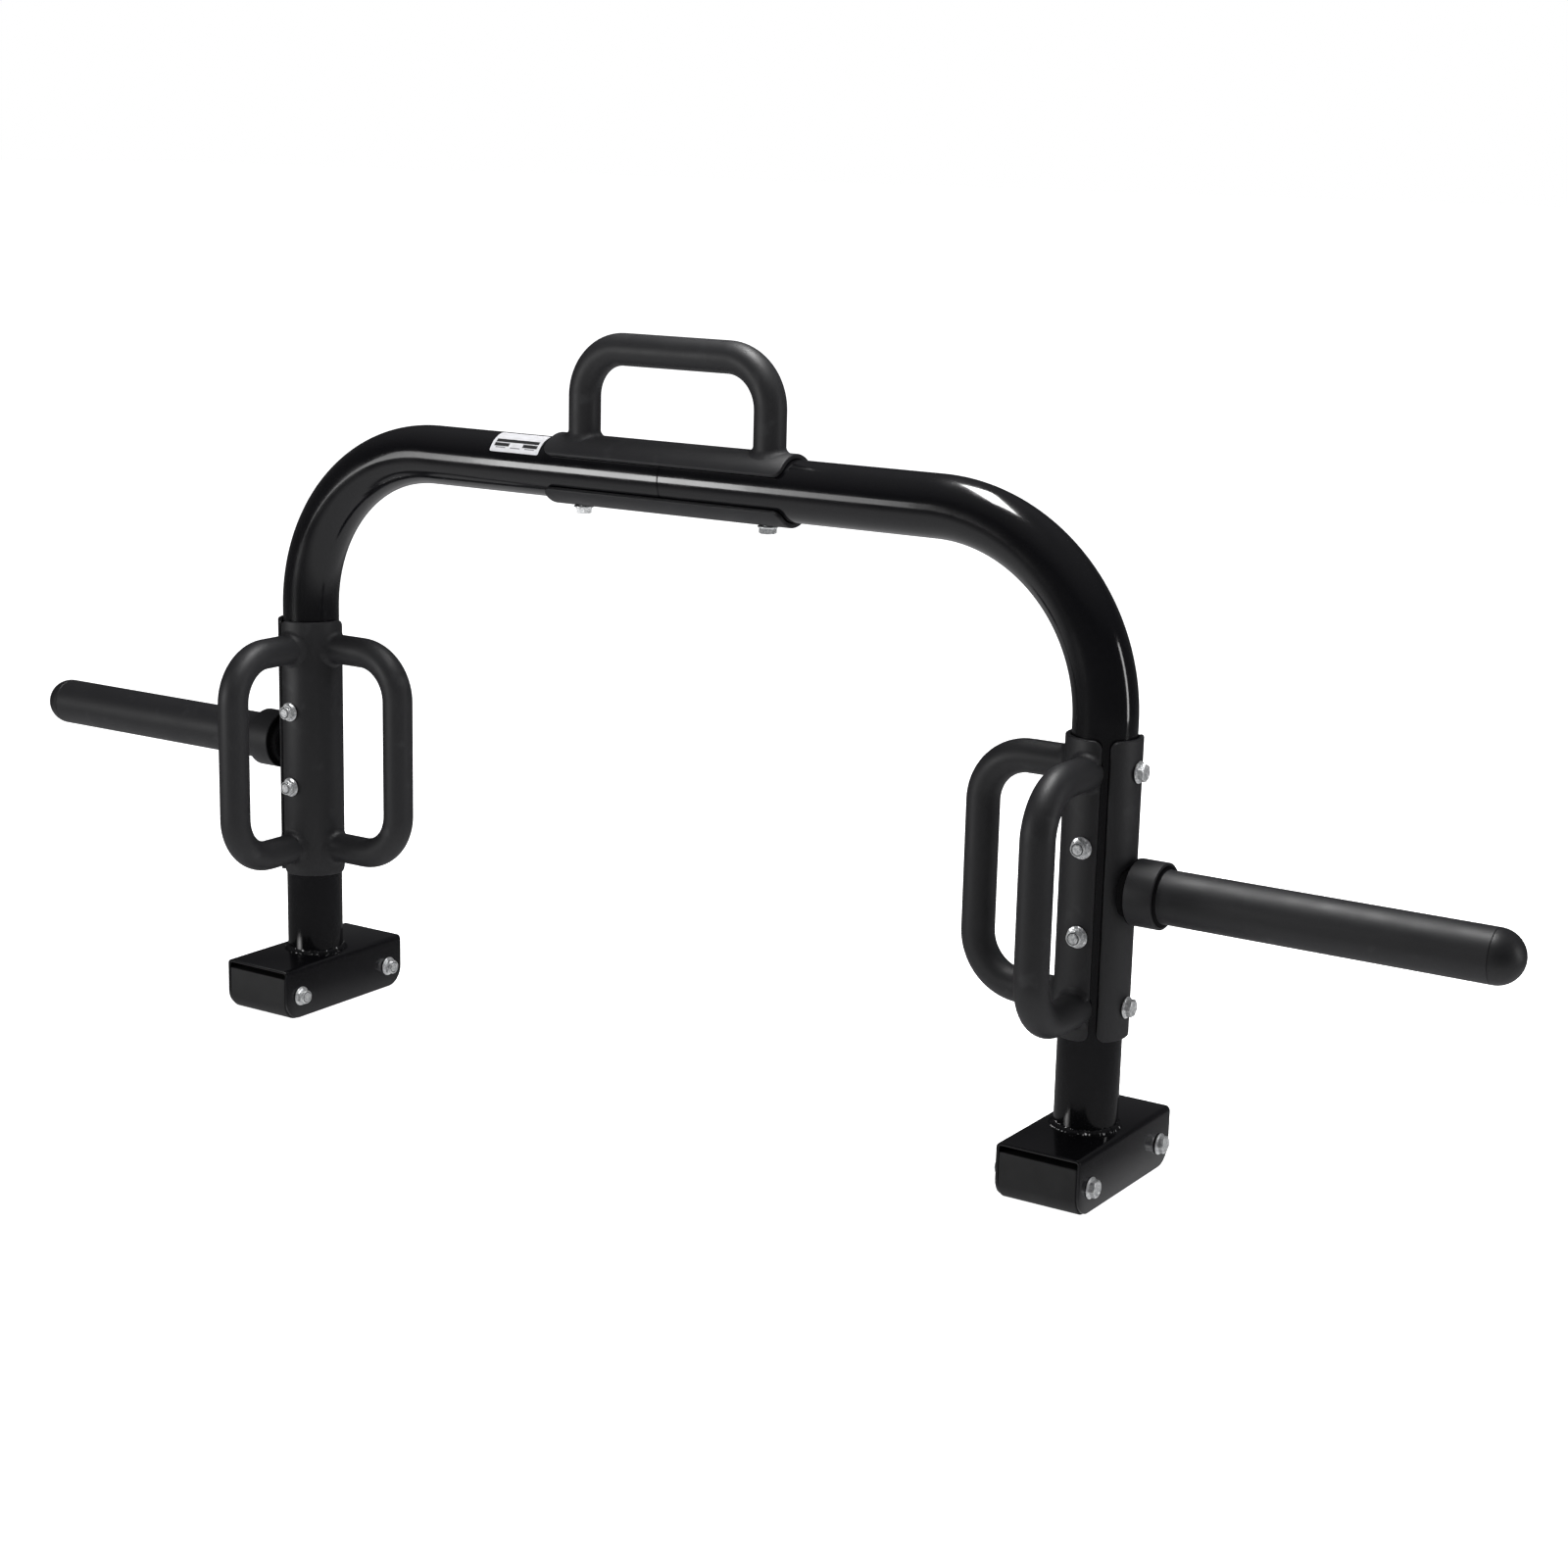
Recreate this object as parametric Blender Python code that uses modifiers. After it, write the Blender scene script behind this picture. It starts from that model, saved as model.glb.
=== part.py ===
"""Plate-loaded carry arch: a walk-in frame of two bent tubes with handles, weight horns and feet.

Metres, +Z up. X runs along the arch's width, -Y is the front, and the feet stand on Z = 0.
Each leg's pieces are built alike, once for the right side (+1) and once for the left (-1).
The pieces are modelled with the arch in the plane Y = 0, and then the empty that they hang on
moves them back, so that the origin is under the middle of the whole object's box.
"""

import math

import bmesh
import bpy
from mathutils import Matrix, Vector

# Arch
LEG_SPACING = 0.955
SHIN_LENGTH = 0.0895
ARCH_BEND_RADIUS = 0.178
TUBE_RADIUS = 0.030
TUBE_WALL = 0.003
BUTT_GAP = 0.0006
SPLICE_WALL = 0.003
SPLICE_PAST_BOLT = 0.020

# Rolled shells and saddles
SHELL_WALL = 0.005
SHELL_CORNER_RADIUS = 0.008
SHELL_PAST_HANDLE = 0.030
SHELL_BELOW_BEND = 0.012
TOP_SADDLE_HALF_ANGLE = math.radians(62)
BOTTOM_SADDLE_HALF_ANGLE = math.radians(58)
HORN_SHELL_HALF_ANGLE = math.radians(53.5)
SHELL_SPLIT_ANGLE = math.radians(13.5)

# Handles: all five are bent alike
HANDLE_RADIUS = 0.016
HANDLE_WALL = 0.0025
HANDLE_SPAN = 0.220
HANDLE_FOOT = 0.0381
HANDLE_BEND_RADIUS = 0.048

# Weight horns
HORN_REACH = 0.3995
HORN_RADIUS = 0.025
HORN_WALL = 0.004
COLLAR_OFF_SHELL = 0.0046
COLLAR_LENGTH = 0.028
COLLAR_WALL = 0.0056
COLLAR_CHAMFER = 0.0015
CAP_SPIGOT_LENGTH = 0.020

# Feet
FOOT_WIDTH = 0.086
FOOT_LENGTH = 0.186
FOOT_HEIGHT = 0.0565
FOOT_WALL = 0.003
FOOT_FOLD_RADIUS = 0.005
FOOT_CORNER_RADIUS = 0.020
FOOT_EDGE_LIFT = 0.001
BLOCK_TOP_GAP = 0.006
BLOCK_ROUNDING = 0.018
FOOT_BOLT_INSET = 0.022
FOOT_BOLT_HEIGHT = 0.025

# Fasteners
BOLT_RADIUS = 0.005
CROSS_BOLT_SPACING = 0.083
HEX_WIDTH = 0.015
FLANGE_RIM = 0.0016
FLANGE_THICKNESS = 0.002
HEAD_HEIGHT = 0.0075
NUT_HEIGHT = 0.009
THREAD_ENGAGEMENT = 0.020
THREAD_PAST_NUT = 0.0008
INSERT_PAST_THREAD = 0.008

# Label
LABEL_PAST_SADDLE = 0.008
LABEL_LENGTH = 0.061
LABEL_WALL = 0.0003
LABEL_HALF_ANGLE = math.radians(27)
LABEL_TILT = math.radians(37)
LABEL_CORNER_RADIUS = 0.002

# Clearances between pieces
TOUCH_GAP = 0.0003
SLIDE_FIT = 0.0004
BOLT_HOLE_CLEARANCE = 0.0005

# How finely round shapes are cut
TUBE_SIDES = 28
HANDLE_SIDES = 16
ROUND_SIDES = 24
SEAT_SIDES = 56
BOLT_SIDES = 12
ARCH_BEND_STEPS = 10
HANDLE_BEND_STEPS = 5
CORNER_STEPS = 3
DOME_STEPS = 6
ROLL_STEP = math.radians(9)
SHARP_ANGLE = math.radians(35)

# Places worked out from the sizes above
LEG_X = LEG_SPACING / 2
HALF_SPAN = HANDLE_SPAN / 2
SHELL_INNER_RADIUS = TUBE_RADIUS + SLIDE_FIT
SHELL_OUTER_RADIUS = SHELL_INNER_RADIUS + SHELL_WALL
SHELL_LENGTH = HANDLE_SPAN + 2 * SHELL_PAST_HANDLE
HANDLE_SHELL_HALF_ANGLE = math.radians(135) - HORN_SHELL_HALF_ANGLE - SHELL_SPLIT_ANGLE
SEAT_RADIUS = SHELL_OUTER_RADIUS + TOUCH_GAP
HORN_HEIGHT = FOOT_HEIGHT + SHIN_LENGTH + SHELL_LENGTH / 2
ARCH_HEIGHT = HORN_HEIGHT + SHELL_LENGTH / 2 + SHELL_BELOW_BEND + ARCH_BEND_RADIUS
HANDLE_REACH = SHELL_OUTER_RADIUS + HANDLE_FOOT + HANDLE_BEND_RADIUS
BORE_RADIUS = BOLT_RADIUS + BOLT_HOLE_CLEARANCE
BORE_DEPTH = SEAT_RADIUS + THREAD_ENGAGEMENT + TOUCH_GAP
BORE_START = SHELL_OUTER_RADIUS + SHELL_WALL
FLANGE_RADIUS = HEX_WIDTH / math.sqrt(3) + FLANGE_RIM
BLOCK_HEIGHT = FOOT_HEIGHT - FOOT_WALL - BLOCK_TOP_GAP
FRONT_REACH = max(HANDLE_REACH + HANDLE_RADIUS, FOOT_LENGTH / 2)
REAR_REACH = FOOT_LENGTH / 2
ARCH_SETBACK = (FRONT_REACH - REAR_REACH) / 2

X_AXIS = Vector((1, 0, 0))
Y_AXIS = Vector((0, 1, 0))
Z_AXIS = Vector((0, 0, 1))
FRONT = -Y_AXIS
SIDES = {"right": 1, "left": -1}
LEVELS = {"upper": 1, "lower": -1}


def clear_scene():
    for obj in list(bpy.data.objects):
        bpy.data.objects.remove(obj)


def new_collection(name):
    collection = bpy.data.collections.new(name)
    bpy.context.scene.collection.children.link(collection)
    return collection


def new_material(name, colour, roughness, metallic):
    material = bpy.data.materials.new(name)
    material.use_nodes = True
    shader = material.node_tree.nodes["Principled BSDF"]
    shader.inputs["Base Color"].default_value = (*colour, 1)
    shader.inputs["Roughness"].default_value = roughness
    shader.inputs["Metallic"].default_value = metallic
    return material


def seat(axis, up, origin):
    """The placing of a piece whose local X lies along axis and whose local Z points along up."""
    across = up.cross(axis)
    rotation = Matrix((axis, across, up)).transposed().to_4x4()
    return Matrix.Translation(origin) @ rotation


def add_object(name, mesh, material, placing):
    """Adds one named piece, placed and parented to the arch's empty."""
    obj = bpy.data.objects.new(name, mesh)
    parts.objects.link(obj)
    obj.matrix_world = placing
    obj.parent = base
    mesh.materials.clear()
    mesh.materials.append(material)
    mesh.shade_smooth()
    mesh.set_sharp_from_angle(angle=SHARP_ANGLE)
    return obj


def mesh_from(bm, name):
    mesh = bpy.data.meshes.new(name)
    bm.to_mesh(mesh)
    bm.free()
    return mesh


def thicken(obj, wall, offset):
    """Gives an open sheet its wall: offset 1 grows along its normals, and -1 against them."""
    solidify = obj.modifiers.new("wall", "SOLIDIFY")
    solidify.thickness = wall
    solidify.offset = offset
    solidify.use_even_offset = True
    return obj


def cut(obj, *cutters):
    for cutter in cutters:
        boolean = obj.modifiers.new(cutter.name, "BOOLEAN")
        boolean.operation = "DIFFERENCE"
        boolean.object = cutter
    return obj


def add_cutter(name, radius, sides, start, end):
    """A round cutter from start to end."""
    bm = bmesh.new()
    length = (end - start).length
    bmesh.ops.create_cone(bm, cap_ends=True, segments=sides, radius1=radius, radius2=radius, depth=length)
    obj = bpy.data.objects.new(name, mesh_from(bm, name))
    cutters.objects.link(obj)
    turn = (end - start).to_track_quat("Z", "Y").to_matrix().to_4x4()
    obj.matrix_world = Matrix.Translation((start + end) / 2) @ turn
    obj.parent = base
    obj.hide_render = True
    obj.display_type = "WIRE"
    return obj


def bent_path(corners, bend_radius, steps):
    """Points along straight runs through the corners, with an arc of bend_radius at each inner one."""
    path = [corners[0]]
    for before, corner, after in zip(corners, corners[1:], corners[2:]):
        back = (before - corner).normalized()
        ahead = (after - corner).normalized()
        half_turn = back.angle(ahead) / 2
        centre = corner + (back + ahead).normalized() * bend_radius / math.sin(half_turn)
        reach = bend_radius / math.tan(half_turn)
        start = (corner + back * reach - centre).normalized()
        finish = (corner + ahead * reach - centre).normalized()
        path += [centre + start.slerp(finish, step / steps) * bend_radius for step in range(steps + 1)]
    return path + [corners[-1]]


def tube_mesh(name, path, radius, sides):
    """The outer skin of a tube along path, open at both ends."""
    curve = bpy.data.curves.new(name, "CURVE")
    curve.dimensions = "3D"
    curve.bevel_depth = radius
    curve.bevel_resolution = (sides - 4) // 2
    curve.use_fill_caps = False
    spline = curve.splines.new("POLY")
    spline.points.add(len(path) - 1)
    for point, place in zip(spline.points, path):
        point.co = (*place, 1)
    guide = bpy.data.objects.new(name, curve)
    bpy.context.scene.collection.objects.link(guide)
    graph = bpy.context.evaluated_depsgraph_get()
    mesh = bpy.data.meshes.new_from_object(guide.evaluated_get(graph))
    bpy.data.objects.remove(guide)
    bpy.data.curves.remove(curve)
    return mesh


def rolled_mesh(name, radius, half_angle, length, corner_radius):
    """A flat blank with rounded corners, rolled about X so that its middle faces +Z."""
    half_width = radius * half_angle
    bm = bmesh.new()
    bmesh.ops.create_grid(bm, x_segments=1, y_segments=1, size=1)
    bmesh.ops.scale(bm, vec=(length / 2, half_width, 1), verts=bm.verts)
    bmesh.ops.bevel(
        bm,
        geom=list(bm.verts),
        affect="VERTICES",
        offset=corner_radius,
        segments=CORNER_STEPS,
        profile=0.5,
        material=-1,
    )
    strips = 2 * math.ceil(half_angle / ROLL_STEP)
    for strip in range(1, strips):
        place = half_width * (2 * strip / strips - 1)
        geometry = [*bm.verts, *bm.edges, *bm.faces]
        bmesh.ops.bisect_plane(bm, geom=geometry, plane_co=(0, place, 0), plane_no=Y_AXIS)
    for vert in bm.verts:
        angle = vert.co.y / radius
        vert.co.y = radius * math.sin(angle)
        vert.co.z = radius * math.cos(angle)
    return mesh_from(bm, name)


def turned_mesh(name, profile, sides):
    """A profile of (radius, height) points turned about Z, from its top down its outer side."""
    mesh = bpy.data.meshes.new(name)
    mesh.from_pydata(
        [(radius, 0, height) for radius, height in profile],
        [(index, index + 1) for index in range(len(profile) - 1)],
        [],
    )
    guide = bpy.data.objects.new(name, mesh)
    bpy.context.scene.collection.objects.link(guide)
    screw = guide.modifiers.new("turn", "SCREW")
    screw.steps = sides
    screw.render_steps = sides
    screw.use_merge_vertices = True
    screw.merge_threshold = 0.00001
    graph = bpy.context.evaluated_depsgraph_get()
    turned = bpy.data.meshes.new_from_object(guide.evaluated_get(graph))
    bpy.data.objects.remove(guide)
    bpy.data.meshes.remove(mesh)
    bm = bmesh.new()
    bm.from_mesh(turned)
    bmesh.ops.remove_doubles(bm, verts=bm.verts, dist=0.00001)
    bmesh.ops.recalc_face_normals(bm, faces=bm.faces)
    bm.to_mesh(turned)
    bm.free()
    return turned


def hex_radius(angle):
    """How far the hexagon's outline is from its middle at this angle."""
    from_flat = (angle + math.pi / 6) % (math.pi / 3) - math.pi / 6
    return HEX_WIDTH / 2 / math.cos(from_flat)


def stack_rings(bm, rings):
    """Extrudes a circle along Z through rings of (radius or "hex", height)."""
    made = bmesh.ops.create_circle(bm, segments=BOLT_SIDES, radius=1)
    verts = made["verts"]
    edges = list({edge for vert in verts for edge in vert.link_edges})
    loops = []
    for index, (radius, height) in enumerate(rings):
        if index:
            made = bmesh.ops.extrude_edge_only(bm, edges=edges)["geom"]
            verts = [item for item in made if isinstance(item, bmesh.types.BMVert)]
            edges = [item for item in made if isinstance(item, bmesh.types.BMEdge)]
        for vert in verts:
            angle = math.atan2(vert.co.y, vert.co.x)
            reach = hex_radius(angle) if radius == "hex" else radius
            vert.co = (reach * math.cos(angle), reach * math.sin(angle), height)
        loops.append(edges)
    return loops


def bolt_mesh(name, shank):
    """A flange bolt: its shank runs down from Z = 0, and its flange and hex head stand on Z = 0."""
    bm = bmesh.new()
    rings = [
        (BOLT_RADIUS, -shank),
        (BOLT_RADIUS, 0),
        (FLANGE_RADIUS, 0),
        (FLANGE_RADIUS, FLANGE_THICKNESS / 2),
        ("hex", FLANGE_THICKNESS),
        ("hex", HEAD_HEIGHT),
    ]
    loops = stack_rings(bm, rings)
    bmesh.ops.holes_fill(bm, edges=loops[0], sides=0)
    bmesh.ops.holes_fill(bm, edges=loops[-1], sides=0)
    bmesh.ops.recalc_face_normals(bm, faces=bm.faces)
    return mesh_from(bm, name)


def nut_mesh(name):
    """A flange nut standing on Z = 0, bored for the bolt."""
    bm = bmesh.new()
    rings = [
        (BORE_RADIUS, 0),
        (FLANGE_RADIUS, 0),
        (FLANGE_RADIUS, FLANGE_THICKNESS / 2),
        ("hex", FLANGE_THICKNESS),
        ("hex", NUT_HEIGHT),
        (BORE_RADIUS, NUT_HEIGHT),
    ]
    loops = stack_rings(bm, rings)
    bmesh.ops.bridge_loops(bm, edges=loops[0] + loops[-1])
    bmesh.ops.recalc_face_normals(bm, faces=bm.faces)
    return mesh_from(bm, name)


def add_bolt(name, head_seat, direction, length):
    """A bolt whose flange sits at head_seat, with its shank running along direction."""
    side = Z_AXIS if abs(direction.z) < 0.5 else Y_AXIS
    return add_object(name, bolt_mesh(name, length), zinc, seat(side, -direction, head_seat))


def add_nut(name, nut_seat, direction):
    """A nut whose flange sits at nut_seat and which stands out along direction."""
    return add_object(name, nut_mesh(name), zinc, seat(Z_AXIS, direction, nut_seat))


def add_shell(name, placing, half_angle):
    mesh = rolled_mesh(name, SHELL_INNER_RADIUS, half_angle, SHELL_LENGTH, SHELL_CORNER_RADIUS)
    return thicken(add_object(name, mesh, powder_coat, placing), SHELL_WALL, 1)


def add_handle(name, placing, saddle_cutter):
    """A bent handle whose feet are coped to the shell that it is welded to."""
    corners = [
        Vector((-HALF_SPAN, 0, 0)),
        Vector((-HALF_SPAN, 0, HANDLE_REACH)),
        Vector((HALF_SPAN, 0, HANDLE_REACH)),
        Vector((HALF_SPAN, 0, 0)),
    ]
    path = bent_path(corners, HANDLE_BEND_RADIUS, HANDLE_BEND_STEPS)
    mesh = tube_mesh(name, path, HANDLE_RADIUS, HANDLE_SIDES)
    handle = thicken(add_object(name, mesh, powder_coat, placing), HANDLE_WALL, -1)
    return cut(handle, saddle_cutter)


def add_insert(name, placing, foot, saddle_cutter, bolt_bore):
    """A threaded plug in one foot of a handle, coped like the handle and drilled for its bolt."""
    radius = HANDLE_RADIUS - HANDLE_WALL - TOUCH_GAP
    top = BORE_DEPTH + INSERT_PAST_THREAD
    bm = bmesh.new()
    bmesh.ops.create_cone(
        bm, cap_ends=True, segments=HANDLE_SIDES, radius1=radius, radius2=radius, depth=top
    )
    bmesh.ops.translate(bm, vec=(0, 0, top / 2), verts=bm.verts)
    place = placing @ Matrix.Translation((foot, 0, 0))
    return cut(add_object(name, mesh_from(bm, name), zinc, place), saddle_cutter, bolt_bore)


def build_arch():
    """The two arch tubes, the sleeve inside their butt joint, and the saddles and handle over it."""
    top = Vector((0, 0, ARCH_HEIGHT))
    saddle_bores = {}
    for side, sign in SIDES.items():
        foot = top + X_AXIS * sign * HALF_SPAN
        start = foot - Z_AXIS * BORE_START
        end = foot + Z_AXIS * BORE_DEPTH
        saddle_bores[side] = add_cutter(side + "_saddle_bore", BORE_RADIUS, BOLT_SIDES, start, end)
    for side, sign in SIDES.items():
        corners = [
            top + X_AXIS * sign * BUTT_GAP / 2,
            top + X_AXIS * sign * LEG_X,
            Vector((sign * LEG_X, 0, FOOT_HEIGHT + TOUCH_GAP)),
        ]
        path = bent_path(corners, ARCH_BEND_RADIUS, ARCH_BEND_STEPS)
        mesh = tube_mesh(side + "_arch_tube", path, TUBE_RADIUS, TUBE_SIDES)
        tube = add_object(side + "_arch_tube", mesh, gloss_black, Matrix.Identity(4))
        thicken(tube, TUBE_WALL, -1)
        cut(tube, saddle_bores[side], *leg_bores[side].values())
    sleeve_radius = TUBE_RADIUS - TUBE_WALL - TOUCH_GAP
    sleeve_reach = X_AXIS * (HALF_SPAN + SPLICE_PAST_BOLT)
    sleeve_mesh = tube_mesh("splice_sleeve", [-sleeve_reach, sleeve_reach], sleeve_radius, ROUND_SIDES)
    sleeve = add_object("splice_sleeve", sleeve_mesh, bare_steel, Matrix.Translation(top))
    cut(thicken(sleeve, SPLICE_WALL, -1), *saddle_bores.values())

    upward = seat(X_AXIS, Z_AXIS, top)
    downward = seat(X_AXIS, -Z_AXIS, top)
    cut(add_shell("top_saddle", upward, TOP_SADDLE_HALF_ANGLE), *saddle_bores.values())
    cut(add_shell("bottom_saddle", downward, BOTTOM_SADDLE_HALF_ANGLE), *saddle_bores.values())
    reach = X_AXIS * SHELL_LENGTH / 2
    saddle_cutter = add_cutter("saddle_seat", SEAT_RADIUS, SEAT_SIDES, top - reach, top + reach)
    add_handle("carry_handle", upward, saddle_cutter)
    for side, sign in SIDES.items():
        name = "carry_handle_" + side + "_insert"
        add_insert(name, upward, sign * HALF_SPAN, saddle_cutter, saddle_bores[side])
        head_seat = top + Vector((sign * HALF_SPAN, 0, -SEAT_RADIUS))
        add_bolt(side + "_saddle_bolt", head_seat, Z_AXIS, 2 * SEAT_RADIUS + THREAD_ENGAGEMENT)


def build_label():
    """The thin label wrapped on the left tube's upper front."""
    up = Vector((0, -math.sin(LABEL_TILT), math.cos(LABEL_TILT)))
    middle = SHELL_LENGTH / 2 + LABEL_PAST_SADDLE + LABEL_LENGTH / 2
    placing = seat(X_AXIS, up, Vector((-middle, 0, ARCH_HEIGHT)))
    radius = TUBE_RADIUS + TOUCH_GAP
    mesh = rolled_mesh("blank_label", radius, LABEL_HALF_ANGLE, LABEL_LENGTH, LABEL_CORNER_RADIUS)
    thicken(add_object("blank_label", mesh, label_film, placing), LABEL_WALL, 1)


def drill_leg(side, sign):
    """The bores through one leg: from the side for the clamp bolts, and from the front."""
    leg = Vector((sign * LEG_X, 0, HORN_HEIGHT))
    outward = X_AXIS * sign
    bores = {}
    for level, lift in LEVELS.items():
        middle = leg + Z_AXIS * lift * HALF_SPAN
        start = middle + outward * BORE_START
        end = middle - outward * BORE_DEPTH
        name = side + "_" + level + "_clamp_bore"
        bores[level, "clamp"] = add_cutter(name, BORE_RADIUS, BOLT_SIDES, start, end)
        middle = leg + Z_AXIS * lift * CROSS_BOLT_SPACING / 2
        reach = FRONT * BORE_START
        name = side + "_" + level + "_cross_bore"
        bores[level, "cross"] = add_cutter(name, BORE_RADIUS, BOLT_SIDES, middle - reach, middle + reach)
    return bores


def build_clamp(side, sign):
    """The two shells bolted round one leg, with the two handles welded to the inner one."""
    leg = Vector((sign * LEG_X, 0, HORN_HEIGHT))
    outward = X_AXIS * sign
    bores = leg_bores[side]
    between_handles = (FRONT - outward).normalized()
    handle_shell_placing = seat(Z_AXIS, between_handles, leg)
    handle_shell = add_shell(side + "_handle_shell", handle_shell_placing, HANDLE_SHELL_HALF_ANGLE)
    cut(handle_shell, *bores.values())
    horn_shell = add_shell(side + "_horn_shell", seat(Z_AXIS, outward, leg), HORN_SHELL_HALF_ANGLE)
    cut(horn_shell, bores["upper", "clamp"], bores["lower", "clamp"])

    reach = Z_AXIS * SHELL_LENGTH / 2
    seat_cutter = add_cutter(side + "_leg_seat", SEAT_RADIUS, SEAT_SIDES, leg - reach, leg + reach)
    add_handle(side + "_front_handle", seat(Z_AXIS, FRONT, leg), seat_cutter)
    inner_placing = seat(Z_AXIS, -outward, leg)
    add_handle(side + "_inner_handle", inner_placing, seat_cutter)
    for level, lift in LEVELS.items():
        name = side + "_" + level
        foot = lift * HALF_SPAN
        bore = bores[level, "clamp"]
        add_insert(name + "_handle_insert", inner_placing, foot, seat_cutter, bore)
        head_seat = leg + Z_AXIS * foot + outward * SEAT_RADIUS
        add_bolt(name + "_clamp_bolt", head_seat, -outward, 2 * SEAT_RADIUS + THREAD_ENGAGEMENT)
        middle = leg + Z_AXIS * lift * CROSS_BOLT_SPACING / 2
        tube_seat = TUBE_RADIUS + TOUCH_GAP
        length = tube_seat + SEAT_RADIUS + NUT_HEIGHT + THREAD_PAST_NUT
        add_bolt(name + "_cross_bolt", middle - FRONT * tube_seat, FRONT, length)
        add_nut(name + "_cross_nut", middle + FRONT * SEAT_RADIUS, FRONT)
    return seat_cutter


def build_horn(side, sign, seat_cutter):
    """One weight horn: its tube, coped to the shell, its stop collar and its domed cap."""
    leg = Vector((sign * LEG_X, 0, HORN_HEIGHT))
    along_horn = seat(Z_AXIS, X_AXIS * sign, leg)
    tube_end = HORN_REACH - HORN_RADIUS - TOUCH_GAP
    path = [Vector((0, 0, 0)), Vector((0, 0, tube_end))]
    horn = add_object(
        side + "_weight_horn",
        tube_mesh(side + "_weight_horn", path, HORN_RADIUS, ROUND_SIDES),
        powder_coat,
        along_horn,
    )
    cut(thicken(horn, HORN_WALL, -1), seat_cutter)

    bore = HORN_RADIUS + SLIDE_FIT
    rim = bore + COLLAR_WALL
    base_end = SHELL_OUTER_RADIUS + COLLAR_OFF_SHELL
    stop_end = base_end + COLLAR_LENGTH
    profile = [
        (bore, stop_end),
        (rim - COLLAR_CHAMFER, stop_end),
        (rim, stop_end - COLLAR_CHAMFER),
        (rim, base_end),
        (bore, base_end),
        (bore, stop_end),
    ]
    collar_mesh = turned_mesh(side + "_stop_collar", profile, ROUND_SIDES)
    add_object(side + "_stop_collar", collar_mesh, powder_coat, along_horn)

    shoulder = HORN_REACH - HORN_RADIUS
    spigot = HORN_RADIUS - HORN_WALL - SLIDE_FIT
    dome = [math.pi / 2 * step / DOME_STEPS for step in range(DOME_STEPS + 1)]
    profile = [
        (HORN_RADIUS * math.sin(angle), shoulder + HORN_RADIUS * math.cos(angle)) for angle in dome
    ]
    profile[0] = (0, HORN_REACH)
    profile[-1] = (HORN_RADIUS, shoulder)
    profile += [
        (spigot, shoulder),
        (spigot, shoulder - CAP_SPIGOT_LENGTH),
        (0, shoulder - CAP_SPIGOT_LENGTH),
    ]
    cap_mesh = turned_mesh(side + "_horn_cap", profile, ROUND_SIDES)
    add_object(side + "_horn_cap", cap_mesh, moulded_black, along_horn)


def bracket_mesh(name):
    """The outer face of the folded channel: two sides and a top, with rounded lower corners."""
    side = FOOT_WIDTH / 2
    corners = [
        Vector((-side, 0, FOOT_EDGE_LIFT)),
        Vector((-side, 0, FOOT_HEIGHT)),
        Vector((side, 0, FOOT_HEIGHT)),
        Vector((side, 0, FOOT_EDGE_LIFT)),
    ]
    profile = bent_path(corners, FOOT_FOLD_RADIUS, CORNER_STEPS)
    bm = bmesh.new()
    verts = [bm.verts.new(point - Y_AXIS * FOOT_LENGTH / 2) for point in profile]
    edges = [bm.edges.new(pair) for pair in zip(verts, verts[1:])]
    made = bmesh.ops.extrude_edge_only(bm, edges=edges)["geom"]
    far = [item for item in made if isinstance(item, bmesh.types.BMVert)]
    bmesh.ops.translate(bm, vec=Y_AXIS * FOOT_LENGTH, verts=far)
    bmesh.ops.recalc_face_normals(bm, faces=bm.faces)
    if max(bm.faces, key=lambda face: face.calc_center_median().z).normal.z < 0:
        bmesh.ops.reverse_faces(bm, faces=bm.faces)
    lowest = [vert for vert in bm.verts if abs(vert.co.z - FOOT_EDGE_LIFT) < TOUCH_GAP]
    bmesh.ops.bevel(
        bm,
        geom=lowest,
        affect="VERTICES",
        offset=min(FOOT_CORNER_RADIUS, FOOT_HEIGHT - FOOT_FOLD_RADIUS - FOOT_EDGE_LIFT),
        segments=CORNER_STEPS + 1,
        profile=0.5,
        material=-1,
    )
    return mesh_from(bm, name)


def block_mesh(name):
    """The block in the channel, with its lower end edges rounded like the channel's corners."""
    width = FOOT_WIDTH - 2 * (FOOT_WALL + TOUCH_GAP)
    bm = bmesh.new()
    bmesh.ops.create_cube(bm, size=1)
    bmesh.ops.scale(bm, vec=(width, FOOT_LENGTH, BLOCK_HEIGHT), verts=bm.verts)
    bmesh.ops.translate(bm, vec=(0, 0, BLOCK_HEIGHT / 2), verts=bm.verts)
    lower_ends = [edge for edge in bm.edges if all(vert.co.z < TOUCH_GAP for vert in edge.verts)]
    lower_ends = [edge for edge in lower_ends if abs(edge.verts[0].co.y - edge.verts[1].co.y) < TOUCH_GAP]
    bmesh.ops.bevel(
        bm,
        geom=lower_ends,
        affect="EDGES",
        offset=min(BLOCK_ROUNDING, BLOCK_HEIGHT / 2),
        segments=2 * CORNER_STEPS,
        profile=0.5,
        material=-1,
    )
    return mesh_from(bm, name)


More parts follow.
